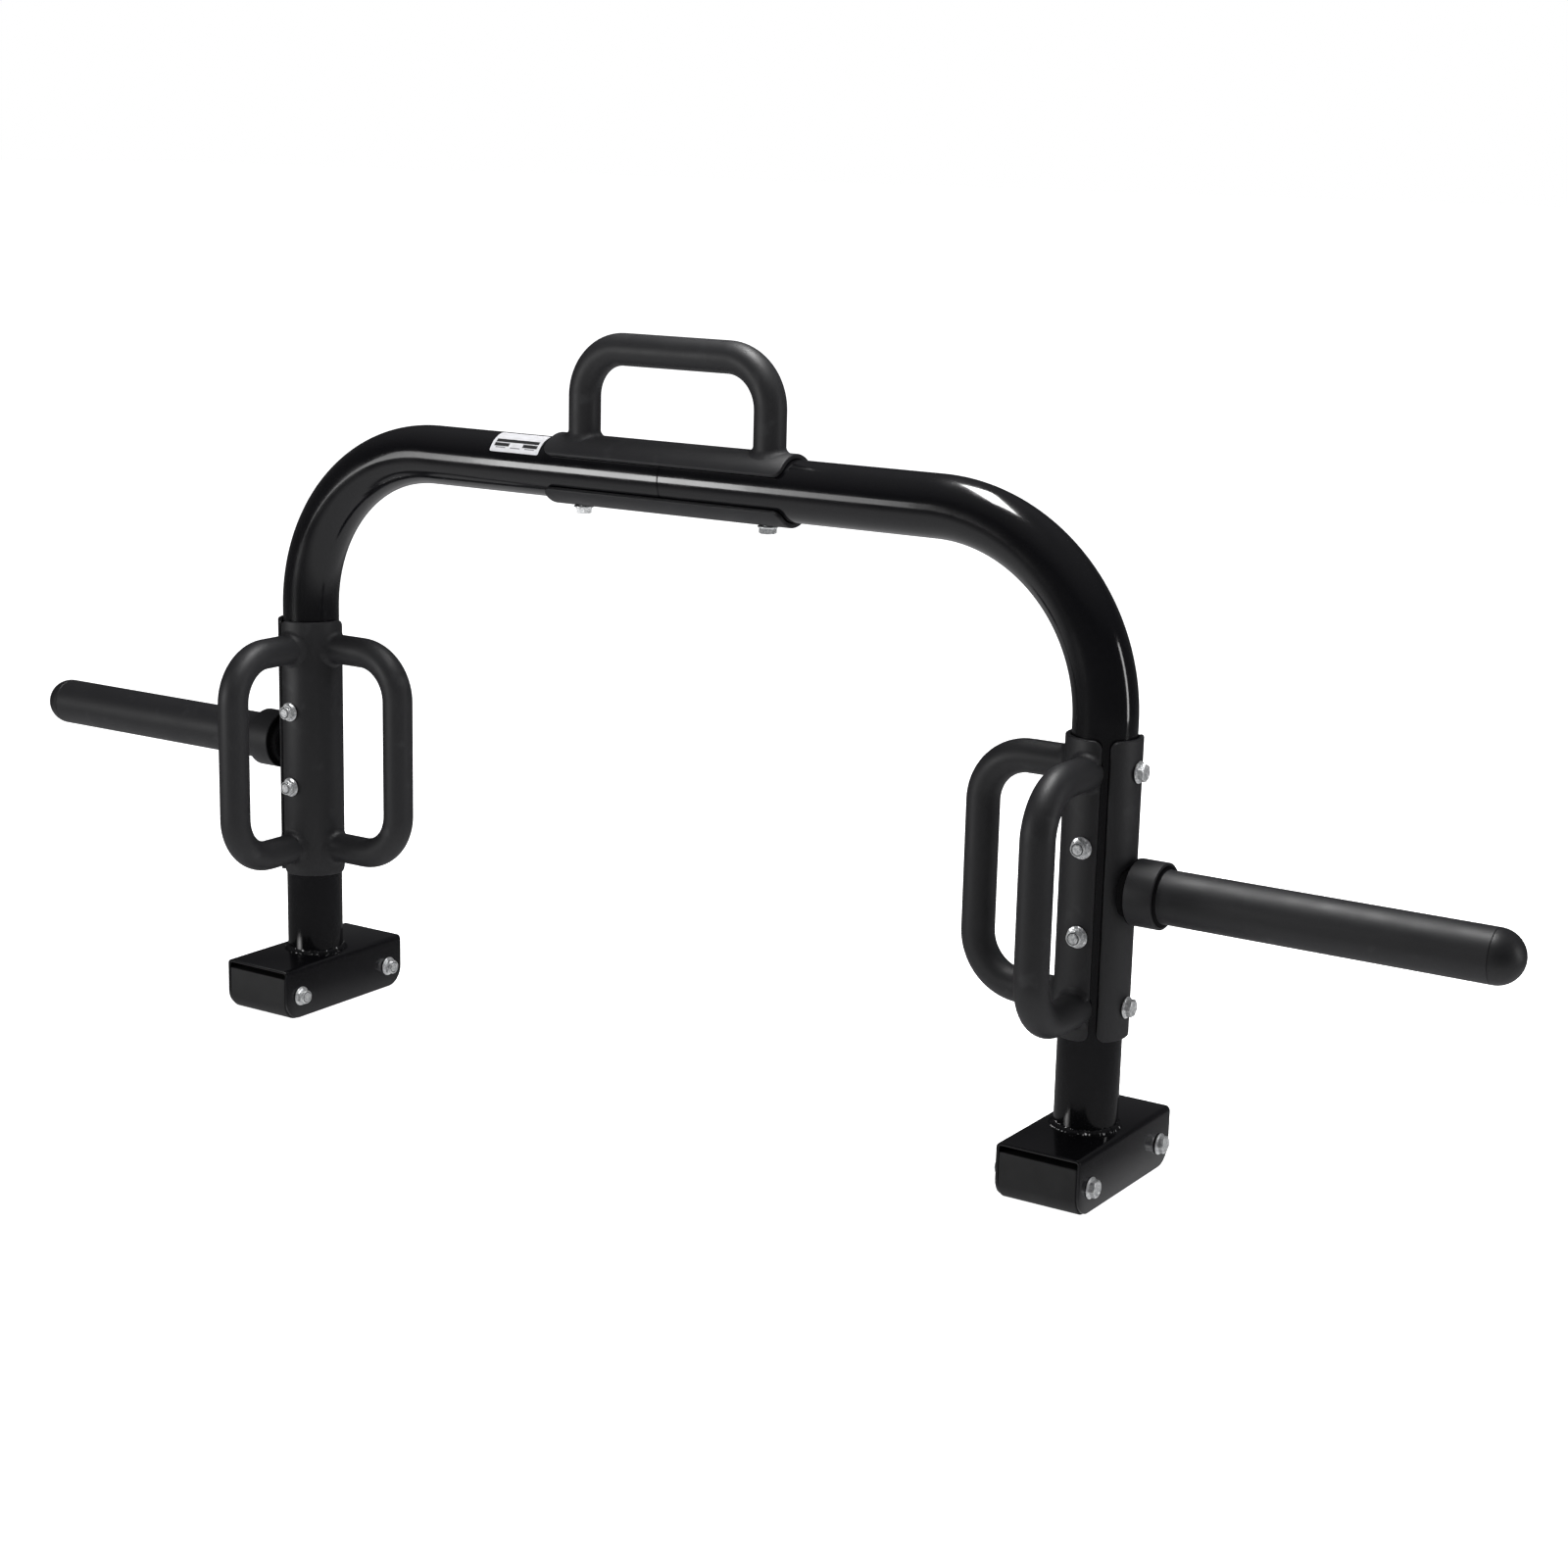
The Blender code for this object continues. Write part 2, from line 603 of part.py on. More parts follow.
def build_foot(side, sign):
    """The channel under one leg, the block in it, and the two bolts through both."""
    foot = Vector((sign * LEG_X, 0, 0))
    outward = X_AXIS * sign
    half_width = FOOT_WIDTH / 2
    bracket = add_object(
        side + "_foot_bracket",
        bracket_mesh(side + "_foot_bracket"),
        gloss_black,
        Matrix.Translation(foot),
    )
    thicken(bracket, FOOT_WALL, -1)
    block = add_object(
        side + "_foot_block", block_mesh(side + "_foot_block"), rubber, Matrix.Translation(foot)
    )
    for level, place in (("front", FRONT), ("rear", -FRONT)):
        middle = foot + place * (FOOT_LENGTH / 2 - FOOT_BOLT_INSET) + Z_AXIS * FOOT_BOLT_HEIGHT
        reach = outward * FOOT_WIDTH
        name = side + "_" + level
        bore = add_cutter(name + "_foot_bore", BORE_RADIUS, BOLT_SIDES, middle - reach, middle + reach)
        cut(bracket, bore)
        cut(block, bore)
        plate = outward * (half_width + TOUCH_GAP)
        length = FOOT_WIDTH + 2 * TOUCH_GAP + NUT_HEIGHT + THREAD_PAST_NUT
        add_bolt(name + "_foot_bolt", middle + plate, -outward, length)
        add_nut(name + "_foot_nut", middle - plate, -outward)


clear_scene()
parts = new_collection("carry_arch")
cutters = new_collection("cutters")
base = bpy.data.objects.new("carry_arch_base", None)
parts.objects.link(base)
base.location.y = ARCH_SETBACK

gloss_black = new_material("gloss black stove enamel", (0.004, 0.004, 0.005), 0.18, 0.0)
powder_coat = new_material("satin black powder coat", (0.022, 0.022, 0.023), 0.45, 0.0)
moulded_black = new_material("moulded black nylon", (0.024, 0.024, 0.025), 0.5, 0.0)
rubber = new_material("black rubber", (0.026, 0.026, 0.028), 0.7, 0.0)
zinc = new_material("bright zinc plate", (0.62, 0.63, 0.65), 0.25, 1.0)
bare_steel = new_material("bare steel", (0.35, 0.35, 0.36), 0.4, 1.0)
label_film = new_material("silver label film", (0.6, 0.6, 0.62), 0.35, 0.0)

leg_bores = {side: drill_leg(side, sign) for side, sign in SIDES.items()}
build_arch()
build_label()
for side_name, side_sign in SIDES.items():
    leg_seat = build_clamp(side_name, side_sign)
    build_horn(side_name, side_sign, leg_seat)
    build_foot(side_name, side_sign)
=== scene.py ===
"""Plate-loaded carry arch: finished pieces, materials, light and camera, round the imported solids.

Metres, +Z up. X runs along the arch's width, -Y is the front, and the feet stand on Z = 0.
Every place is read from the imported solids. The sizes that they don't show, such as the rounding
of an edge, are fields of the class that makes the piece.
"""

import logging
import math
import random
from collections.abc import Callable
from dataclasses import dataclass
from enum import Enum

import bmesh
import bpy
from bmesh.types import BMEdge, BMesh, BMVert
from mathutils import Matrix, Vector, noise


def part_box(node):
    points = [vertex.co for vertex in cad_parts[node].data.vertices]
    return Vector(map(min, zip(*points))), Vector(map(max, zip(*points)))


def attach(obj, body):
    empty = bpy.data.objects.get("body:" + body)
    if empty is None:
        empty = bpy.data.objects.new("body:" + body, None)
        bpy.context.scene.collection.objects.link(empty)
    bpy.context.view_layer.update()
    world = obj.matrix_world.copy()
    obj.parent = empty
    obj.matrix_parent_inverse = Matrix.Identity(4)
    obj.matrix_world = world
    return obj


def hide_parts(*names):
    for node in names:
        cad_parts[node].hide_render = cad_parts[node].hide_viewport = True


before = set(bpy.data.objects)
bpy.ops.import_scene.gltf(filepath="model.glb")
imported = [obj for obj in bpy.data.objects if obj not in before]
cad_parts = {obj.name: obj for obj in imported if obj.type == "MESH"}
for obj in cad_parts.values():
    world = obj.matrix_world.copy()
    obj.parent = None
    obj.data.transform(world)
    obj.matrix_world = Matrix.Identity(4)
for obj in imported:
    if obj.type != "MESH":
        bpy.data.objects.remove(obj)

log = logging.getLogger("carry_arch")
BODY = "root"
MILLIMETRE = 0.001
MERGE_DISTANCE = 0.000002
SHARP_ANGLE = math.radians(32)
QUARTER_TURN = math.pi / 2
FULL_TURN = 2 * math.pi
RANGE_INPUTS = ("From Min", "From Max", "To Min", "To Max")

X_AXIS = Vector((1, 0, 0))
Y_AXIS = Vector((0, 1, 0))
Z_AXIS = Vector((0, 0, 1))
FRONT = -Y_AXIS

Ring = Callable[[float], tuple[float, float]]


class Side(Enum):
    """The two legs. The value is the sign of the X direction that points away from the middle."""

    RIGHT = 1
    LEFT = -1

    @property
    def outward(self) -> Vector:
        """The direction away from the middle of the arch."""
        return X_AXIS * self.value

    def named(self, name: str) -> str:
        """The name of this leg's own piece or solid."""
        return f"{self.name.lower()}_{name}"


class Level(Enum):
    """The upper and the lower one of a pair, with the sign of its lift from the pair's middle."""

    UPPER = 1
    LOWER = -1

    def named(self, name: str) -> str:
        """The name of this one of the pair."""
        return f"{self.name.lower()}_{name}"


# Helpers for nodes and colours


def linear(colour: str) -> tuple[float, float, float, float]:
    """Turns an sRGB hex colour into the linear colour that a shader takes.

    Args:
        colour: Six hex digits, such as "1c1c1d".

    Returns:
        Linear red, green and blue, and an alpha of 1.
    """
    parts = [int(colour[at : at + 2], 16) / 255 for at in (0, 2, 4)]
    red, green, blue = (
        part / 12.92 if part <= 0.04045 else ((part + 0.055) / 1.055) ** 2.4 for part in parts
    )
    return red, green, blue, 1.0


def add_node(
    tree: bpy.types.NodeTree,
    kind: str,
    settings: dict[str, object] | None = None,
    values: dict[str | int, object] | None = None,
    links: dict[str | int, bpy.types.NodeSocket] | None = None,
    stops: tuple[tuple[float, str], ...] = (),
) -> bpy.types.Node:
    """Adds one node with its settings and links.

    Args:
        tree: The node tree that gets the node.
        kind: Blender's name for the node's type.
        settings: The node's own properties.
        values: What its unlinked inputs are set to, by name or by number.
        links: The output that feeds each linked input, by name or by number.
        stops: A colour ramp's places and sRGB hex colours, from low to high.

    Returns:
        The new node.
    """
    node = tree.nodes.new(kind)
    for name, setting in (settings or {}).items():
        setattr(node, name, setting)
    for name, value in (values or {}).items():
        node.inputs[name].default_value = value
    for name, source in (links or {}).items():
        tree.links.new(source, node.inputs[name])
    for index, (place, colour) in enumerate(stops):
        elements = node.color_ramp.elements
        element = elements[index] if index < len(elements) else elements.new(place)
        element.position = place
        element.color = linear(colour)
    return node


# Finishes


@dataclass(frozen=True)
class Layer:
    """Noise on the object's own coordinates, in a real grain size, and what it changes.

    Attributes:
        grain_mm: How far apart the grains are.
        detail: How many finer layers the noise has.
        relief_mm: The full depth of its relief, if it has one.
        peaks: The range of the noise that the relief keeps, if it isn't all of it.
        tones: Pairs of noise value and sRGB hex colour that set the base colour.
        rough: The range of the noise, and the roughness at both its ends.
        lengthwise: The scale along X. A low one draws the grains out into lines.
    """

    grain_mm: float
    detail: float
    relief_mm: float = 0.0
    peaks: tuple[float, float] | None = None
    tones: tuple[tuple[float, str], ...] = ()
    rough: tuple[float, float, float, float] | None = None
    lengthwise: float = 1.0


@dataclass(frozen=True)
class Finish:
    """A surface: its record slot, its look as a whole, and the layers that a subclass gives it."""

    name: str
    slot: str
    colour: str
    roughness: float
    metallic: float = 0.0
    specular: float = 0.5
    coat: float = 0.0
    coat_roughness: float = 0.03

    def material(self) -> bpy.types.Material:
        """Makes the material, or finds it if a piece has it already.

        Returns:
            The material.
        """
        found = bpy.data.materials.get(self.name)
        if found:
            return found
        made = bpy.data.materials.new(self.name)
        made.use_nodes = True
        made.diffuse_color = linear(self.colour)
        shader = made.node_tree.nodes["Principled BSDF"]
        for socket, value in (
            ("Base Color", linear(self.colour)),
            ("Roughness", self.roughness),
            ("Metallic", self.metallic),
            ("Specular IOR Level", self.specular),
            ("Coat Weight", self.coat),
            ("Coat Roughness", self.coat_roughness),
        ):
            shader.inputs[socket].default_value = value
        self.pattern(made.node_tree, shader)
        return made

    def layers(self) -> list[Layer]:
        """The layers of noise, the lowest relief first. A subclass says which."""
        return []

    def pattern(self, tree: bpy.types.NodeTree, shader: bpy.types.Node) -> None:
        """Adds the layers' nodes and links them to the shader.

        Args:
            tree: The material's node tree.
            shader: The shader that the layers feed.
        """
        place = add_node(tree, "ShaderNodeTexCoord").outputs["Object"]
        below = {}
        for layer in self.layers():
            way = place
            if layer.lengthwise != 1.0:
                scale = {"Scale": (layer.lengthwise, 1.0, 1.0)}
                mapping = add_node(tree, "ShaderNodeMapping", values=scale, links={"Vector": place})
                way = mapping.outputs["Vector"]
            values = {"Scale": 1 / (layer.grain_mm * MILLIMETRE), "Detail": layer.detail}
            node = add_node(tree, "ShaderNodeTexNoise", values=values, links={"Vector": way})
            grain = node.outputs["Fac"]
            if layer.tones:
                links = {"Fac": grain}
                ramp = add_node(tree, "ShaderNodeValToRGB", links=links, stops=layer.tones)
                tree.links.new(ramp.outputs["Color"], shader.inputs["Base Color"])
            links = {"Value": grain}
            if layer.rough:
                values = dict(zip(RANGE_INPUTS, layer.rough))
                rough = add_node(tree, "ShaderNodeMapRange", values=values, links=links)
                tree.links.new(rough.outputs["Result"], shader.inputs["Roughness"])
            if layer.peaks:
                values = dict(zip(RANGE_INPUTS, layer.peaks))
                node = add_node(tree, "ShaderNodeMapRange", values=values, links=links)
                grain = node.outputs["Result"]
            if layer.relief_mm:
                values = {"Distance": layer.relief_mm * MILLIMETRE, "Strength": 1.0}
                node = add_node(tree, "ShaderNodeBump", None, values, {"Height": grain} | below)
                below = {"Normal": node.outputs["Normal"]}
        if below:
            tree.links.new(below["Normal"], shader.inputs["Normal"])


@dataclass(frozen=True)
class StoveEnamel(Finish):
    """Gloss black stove enamel, sprayed and baked: deep black, sharp reflections, orange peel."""

    peel_mm: float = 7.0
    peel_depth_mm: float = 0.030
    nib_mm: float = 1.6

    def layers(self) -> list[Layer]:
        """A faint waviness, dust under the paint, and hazier patches where hands rub."""
        haze = (0.3, 0.7, self.roughness * 0.75, self.roughness * 1.5)
        return [
            Layer(self.peel_mm, 1.0, relief_mm=self.peel_depth_mm),
            Layer(self.nib_mm, 3.0, relief_mm=0.02, peaks=(0.66, 0.78)),
            Layer(55.0, 4.0, rough=haze),
        ]


@dataclass(frozen=True)
class PowderCoat(Finish):
    """Satin black powder coat, baked on steel: soft broad sheen over a fine, even pebble."""

    pebble_mm: float = 1.3
    pebble_depth_mm: float = 0.028
    worn: str = "28282a"

    def layers(self) -> list[Layer]:
        """The pebble, slow changes of tone, and short pale rubs."""
        # The real pebble is about 0.2 mm: it is drawn coarser, so that it shows at all
        rubs = ((0.30, self.colour), (0.62, self.colour), (0.80, self.worn))
        cloud = (0.25, 0.75, self.roughness - 0.06, self.roughness + 0.07)
        return [
            Layer(11.0, 2.0, relief_mm=0.05),
            Layer(self.pebble_mm, 2.0, relief_mm=self.pebble_depth_mm),
            Layer(24.0, 6.0, tones=rubs),
            Layer(38.0, 3.0, rough=cloud),
        ]


@dataclass(frozen=True)
class ZincPlate(Finish):
    """Bright zinc plate on forged steel: pale, a little grainy, with soft sparkle on each facet."""

    crystal_mm: float = 0.7
    forging_mm: float = 2.4
    dull: str = "c4c6c8"

    def layers(self) -> list[Layer]:
        """The plating's crystals over the unevenness of the forging."""
        tones = ((0.32, self.dull), (0.62, self.colour))
        sparkle = (0.3, 0.7, self.roughness * 0.7, self.roughness * 1.5)
        return [
            Layer(self.forging_mm, 2.0, relief_mm=0.05, tones=tones),
            Layer(self.crystal_mm, 2.0, relief_mm=0.02, rough=sparkle),
        ]


@dataclass(frozen=True)
class MouldedPart(Finish):
    """Moulded rubber or nylon: matt to silky, with the fine spark-eroded grain of its mould."""

    grain_mm: float = 1.1
    grain_depth_mm: float = 0.03
    bloom: str = "1e1e1f"

    def layers(self) -> list[Layer]:
        """The mould's grain and the pale bloom that comes up in patches."""
        return [
            Layer(16.0, 2.0, relief_mm=0.12),
            Layer(self.grain_mm, 2.0, relief_mm=self.grain_depth_mm),
            Layer(30.0, 5.0, tones=((0.35, self.colour), (0.75, self.bloom))),
        ]


@dataclass(frozen=True)
class DrawnSteel(Finish):
    """Bare drawn steel: dull grey, with long fine lines from the die and thin spots of oxide."""

    line_mm: float = 0.8
    oxide: str = "4d4a47"

    def layers(self) -> list[Layer]:
        """The drawing lines along X and the oxide."""
        return [
            Layer(self.line_mm, 3.0, relief_mm=0.04, lengthwise=0.04),
            Layer(9.0, 5.0, tones=((0.4, self.colour), (0.7, self.oxide))),
        ]


@dataclass(frozen=True)
class LabelFilm(Finish):
    """Silver polyester label film, printed with plain bars: pale, smooth, with a low sheen.

    A bar is the place of its middle and its width and height, all as shares of the film's sides.
    """

    shade: str = "bdbdbf"
    ink: str = "222223"
    faint_ink: str = "767678"
    bars: tuple[tuple[float, float, float, float], ...] = (
        (0.5, 0.47, 0.88, 0.15),
        (0.21, 0.29, 0.30, 0.14),
        (0.79, 0.29, 0.30, 0.14),
    )
    dashes: tuple[tuple[float, float, float, float], ...] = (
        (0.20, 0.17, 0.20, 0.04),
        (0.5, 0.17, 0.20, 0.04),
        (0.8, 0.17, 0.20, 0.04),
    )

    def pattern(self, tree: bpy.types.NodeTree, shader: bpy.types.Node) -> None:
        """Adds the bars as plain boxes in the film's own flat coordinates.

        Args:
            tree: The material's node tree.
            shader: The shader that they feed.
        """
        flat = add_node(tree, "ShaderNodeTexCoord").outputs["UV"]
        parts = add_node(tree, "ShaderNodeSeparateXYZ", links={"Vector": flat})
        film = add_node(tree, "ShaderNodeTexNoise", values={"Scale": 6.0}, links={"Vector": flat})
        stops = ((0.3, self.shade), (0.7, self.colour))
        ramp = add_node(tree, "ShaderNodeValToRGB", links={"Fac": film.outputs["Fac"]}, stops=stops)
        base = ramp.outputs["Color"]
        for boxes, ink in ((self.bars, self.ink), (self.dashes, self.faint_ink)):
            cover = None
            for middle_x, middle_y, width, height in boxes:
                inside = {}
                for axis, middle, extent in (("X", middle_x, width), ("Y", middle_y, height)):
                    values = {1: middle, 2: extent / 2}
                    links = {0: parts.outputs[axis]}
                    node = add_node(tree, "ShaderNodeMath", {"operation": "COMPARE"}, values, links)
                    inside[len(inside)] = node.outputs[0]
                box = add_node(tree, "ShaderNodeMath", {"operation": "MULTIPLY"}, links=inside)
                links = {0: box.outputs[0]} | ({1: cover} if cover else {})
                values = {} if cover else {1: 0.0}
                node = add_node(tree, "ShaderNodeMath", {"operation": "MAXIMUM"}, values, links)
                cover = node.outputs[0]
            values, links = {"Color2": linear(ink)}, {"Fac": cover, "Color1": base}
            mixed = add_node(tree, "ShaderNodeMixRGB", values=values, links=links)
            base = mixed.outputs["Color"]
        tree.links.new(base, shader.inputs["Base Color"])


GLOSS_ENAMEL = StoveEnamel(
    "gloss black stove enamel, sprayed and baked", "gloss_enamel", "08080a", 0.13, coat=0.3
)
POWDER_COAT = PowderCoat("satin black powder coat, baked", "powder_coat", "19191b", 0.52)
WELD_COAT = PowderCoat(
    "satin black powder coat over a weld",
    "powder_coat",
    "18181a",
    0.56,
    pebble_mm=1.0,
    pebble_depth_mm=0.05,
)
CAP_NYLON = MouldedPart("black nylon, injection moulded", "moulded_black", "141416", 0.46)
FOOT_RUBBER = MouldedPart(
    "black rubber, compression moulded",
    "black_rubber",
    "121213",
    0.60,
    grain_mm=1.6,
    bloom="1b1b1c",
)
# This near-black matt finish is painted shade: it darkens the gap between each horn's shell and
# collar, and the collar's outer end, where shade falls
PAINTED_SHADE_BLACK = MouldedPart(
    "black rubber, soft seal", "black_rubber", "060607", 0.85, specular=0.1, bloom="0b0b0c"
)
ZINC = ZincPlate("bright zinc plate on forged steel", "zinc_plate", "f4f5f5", 0.33, metallic=0.82)
BARE_STEEL = DrawnSteel("bare steel, cold drawn", "bare_steel", "8d8c8a", 0.38, metallic=1.0)
LABEL = LabelFilm("silver polyester label film, printed", "label_film", "cdcdd0", 0.40)


# Where the solids stand


@dataclass(frozen=True)
class Layout:
    """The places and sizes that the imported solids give."""

    plane_y: float
    leg_x: float
    tube_radius: float
    tube_foot: float
    butt_gap: float
    top_z: float
    shell_length: float
    shell_outer: float
    horn_z: float
    handle_radius: float
    handle_reach: float
    half_span: float

    @classmethod
    def from_solids(cls) -> "Layout":
        """Reads the right leg's solids and the arch tube.

        Returns:
            The layout.
        """
        low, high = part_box("right_arch_tube")
        tube_radius = (high.y - low.y) / 2
        leg_x = high.x - tube_radius
        shell_low, shell_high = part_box("right_horn_shell")
        handle_low, handle_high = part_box("right_inner_handle")
        handle_radius = (handle_high.y - handle_low.y) / 2
        return cls(
            plane_y=(low.y + high.y) / 2,
            leg_x=leg_x,
            tube_radius=tube_radius,
            tube_foot=low.z,
            butt_gap=2 * low.x,
            top_z=high.z - tube_radius,
            shell_length=shell_high.z - shell_low.z,
            shell_outer=shell_high.x - leg_x,
            horn_z=(shell_low.z + shell_high.z) / 2,
            handle_radius=handle_radius,
            handle_reach=leg_x - handle_low.x - handle_radius,
            half_span=(handle_high.z - handle_low.z) / 2 - handle_radius,
        )

    @property
    def top(self) -> Vector:
        """The middle of the top tube."""
        return Vector((0, self.plane_y, self.top_z))

    def leg(self, side: Side) -> Vector:
        """The middle of one leg's shells, on the tube's axis."""
        return Vector((side.value * self.leg_x, self.plane_y, self.horn_z))


def seat(axis: Vector, up: Vector, origin: Vector) -> Matrix:
    """Places a piece.

    Args:
        axis: Where the piece's own X points.
        up: Where its own Z points.
        origin: Where its own origin goes.

    Returns:
        The placing matrix.
    """
    rotation = Matrix((axis, up.cross(axis), up)).transposed().to_4x4()
    return Matrix.Translation(origin) @ rotation


# Ways of shaping


def outline(verts: list[BMVert]) -> list[BMEdge]:
    """The edges on these vertices, each once and always in the same order."""
    return list(dict.fromkeys(edge for vert in verts for edge in vert.link_edges))


def drawn_out(bm: BMesh, edges: list[BMEdge]) -> tuple[list[BMVert], list[BMEdge]]:
    """Extrudes a loop of edges in place.

    Args:
        bm: The mesh.
        edges: The loop.

    Returns:
        The new loop's vertices and edges.
    """
    made = bmesh.ops.extrude_edge_only(bm, edges=edges)["geom"]
    verts = [item for item in made if isinstance(item, BMVert)]
    return verts, [item for item in made if isinstance(item, BMEdge)]


def bevelled(
    bm: BMesh,
    geometry: list[BMEdge] | list[BMVert],
    offset: float,
    segments: int,
    affect: str = "EDGES",
    clamped: bool = False,
) -> None:
    """Rounds edges or corners.

    Args:
        bm: The mesh.
        geometry: The edges or the vertices.
        offset: How far the rounding reaches.
        segments: How many strips it has.
        affect: "EDGES" or "VERTICES".
        clamped: Whether it stops short where two roundings would meet.
    """
    bmesh.ops.bevel(
        bm,
        geom=geometry,
        affect=affect,
        offset=offset,
        segments=segments,
        profile=0.5,
        material=-1,
        clamp_overlap=clamped,
    )


def round_ring(radius: float, height: float) -> Ring:
    """A ring of one radius, at one height."""
    return lambda angle: (radius, height)


def turned_edge(radius: float, height: float, ease: float, steps: int) -> list[Ring]:
    """The rings of an outer edge that is turned round.

    Args:
        radius: The outer radius, where the rounding starts.
        height: The height of the end face, where it stops.
        ease: The radius of the rounding.
        steps: How many strips it has.

    Returns:
        The rings, going up.
    """
    turns = [QUARTER_TURN * step / steps for step in range(steps + 1)]
    return [
        round_ring(radius - ease * (1 - math.cos(turn)), height - ease * (1 - math.sin(turn)))
        for turn in turns
    ]


def stacked(sides: int, rings: list[Ring], ends_filled: bool = True) -> BMesh:
    """Extrudes a circle about Z through rings.

    Args:
        sides: How many sides the circle has.
        rings: Each gives the radius and the height at an angle round Z.
        ends_filled: Whether the first and the last ring are filled.

    Returns:
        The new mesh.
    """
    bm = bmesh.new()
    verts = bmesh.ops.create_circle(bm, segments=sides, radius=1)["verts"]
    edges = first = outline(verts)
    for index, ring in enumerate(rings):
        if index:
            verts, edges = drawn_out(bm, edges)
        for vert in verts:
            angle = math.atan2(vert.co.y, vert.co.x)
            radius, height = ring(angle)
            vert.co = (radius * math.cos(angle), radius * math.sin(angle), height)
    if ends_filled:
        bmesh.ops.holes_fill(bm, edges=first + edges, sides=0)
    return bm


def closed_ring(sides: int, corners: list[tuple[float, float]]) -> BMesh:
    """Turns a section about Z into a ring with a hole through it.

    Args:
        sides: How many sides it has.
        corners: The radius and the height of each of the section's corners.

    Returns:
        The closed ring.
    """
    rings = [round_ring(*corner) for corner in (*corners, corners[0])]
    return stacked(sides, rings, ends_filled=False)


@dataclass(frozen=True)
class PipeBender:
    """Bends a round tube along straight runs, with an arc at each corner."""

    radius: float
    sides: int
    bend_steps: int = 1

    def bend(self, corners: list[Vector], bend_radius: float, ends_filled: bool = True) -> BMesh:
        """Draws a circle along the runs and spins it round each inner corner.

        Args:
            corners: The path's ends and the corners between them.
            bend_radius: The radius of the tube's axis at each corner.
            ends_filled: Whether the tube's ends are closed.

        Returns:
            The tube's outer skin.
        """
        bm = bmesh.new()
        heading = (corners[1] - corners[0]).to_track_quat("Z", "Y").to_matrix().to_4x4()
        place = Matrix.Translation(corners[0]) @ heading
        made = bmesh.ops.create_circle(bm, segments=self.sides, radius=self.radius, matrix=place)
        verts, edges = made["verts"], outline(made["verts"])
        first, here = edges, corners[0]
        for before, corner, after in zip(corners, corners[1:], corners[2:]):
            back = (before - corner).normalized()
            ahead = (after - corner).normalized()
            half_turn = back.angle(ahead) / 2
            reach = bend_radius / math.tan(half_turn)
            centre = corner + (back + ahead).normalized() * bend_radius / math.sin(half_turn)
            verts, edges = drawn_out(bm, edges)
            bmesh.ops.translate(bm, vec=corner + back * reach - here, verts=verts)
            made = bmesh.ops.spin(
                bm,
                geom=verts + edges,
                cent=centre,
                axis=ahead.cross(back).normalized(),
                angle=math.pi - 2 * half_turn,
                steps=self.bend_steps,
                use_merge=False,
            )["geom_last"]
            edges = [item for item in made if isinstance(item, BMEdge)]
            here = corner + ahead * reach
        verts, edges = drawn_out(bm, edges)
        bmesh.ops.translate(bm, vec=corners[-1] - here, verts=verts)
        if ends_filled:
            bmesh.ops.holes_fill(bm, edges=first + edges, sides=0)
        return bm


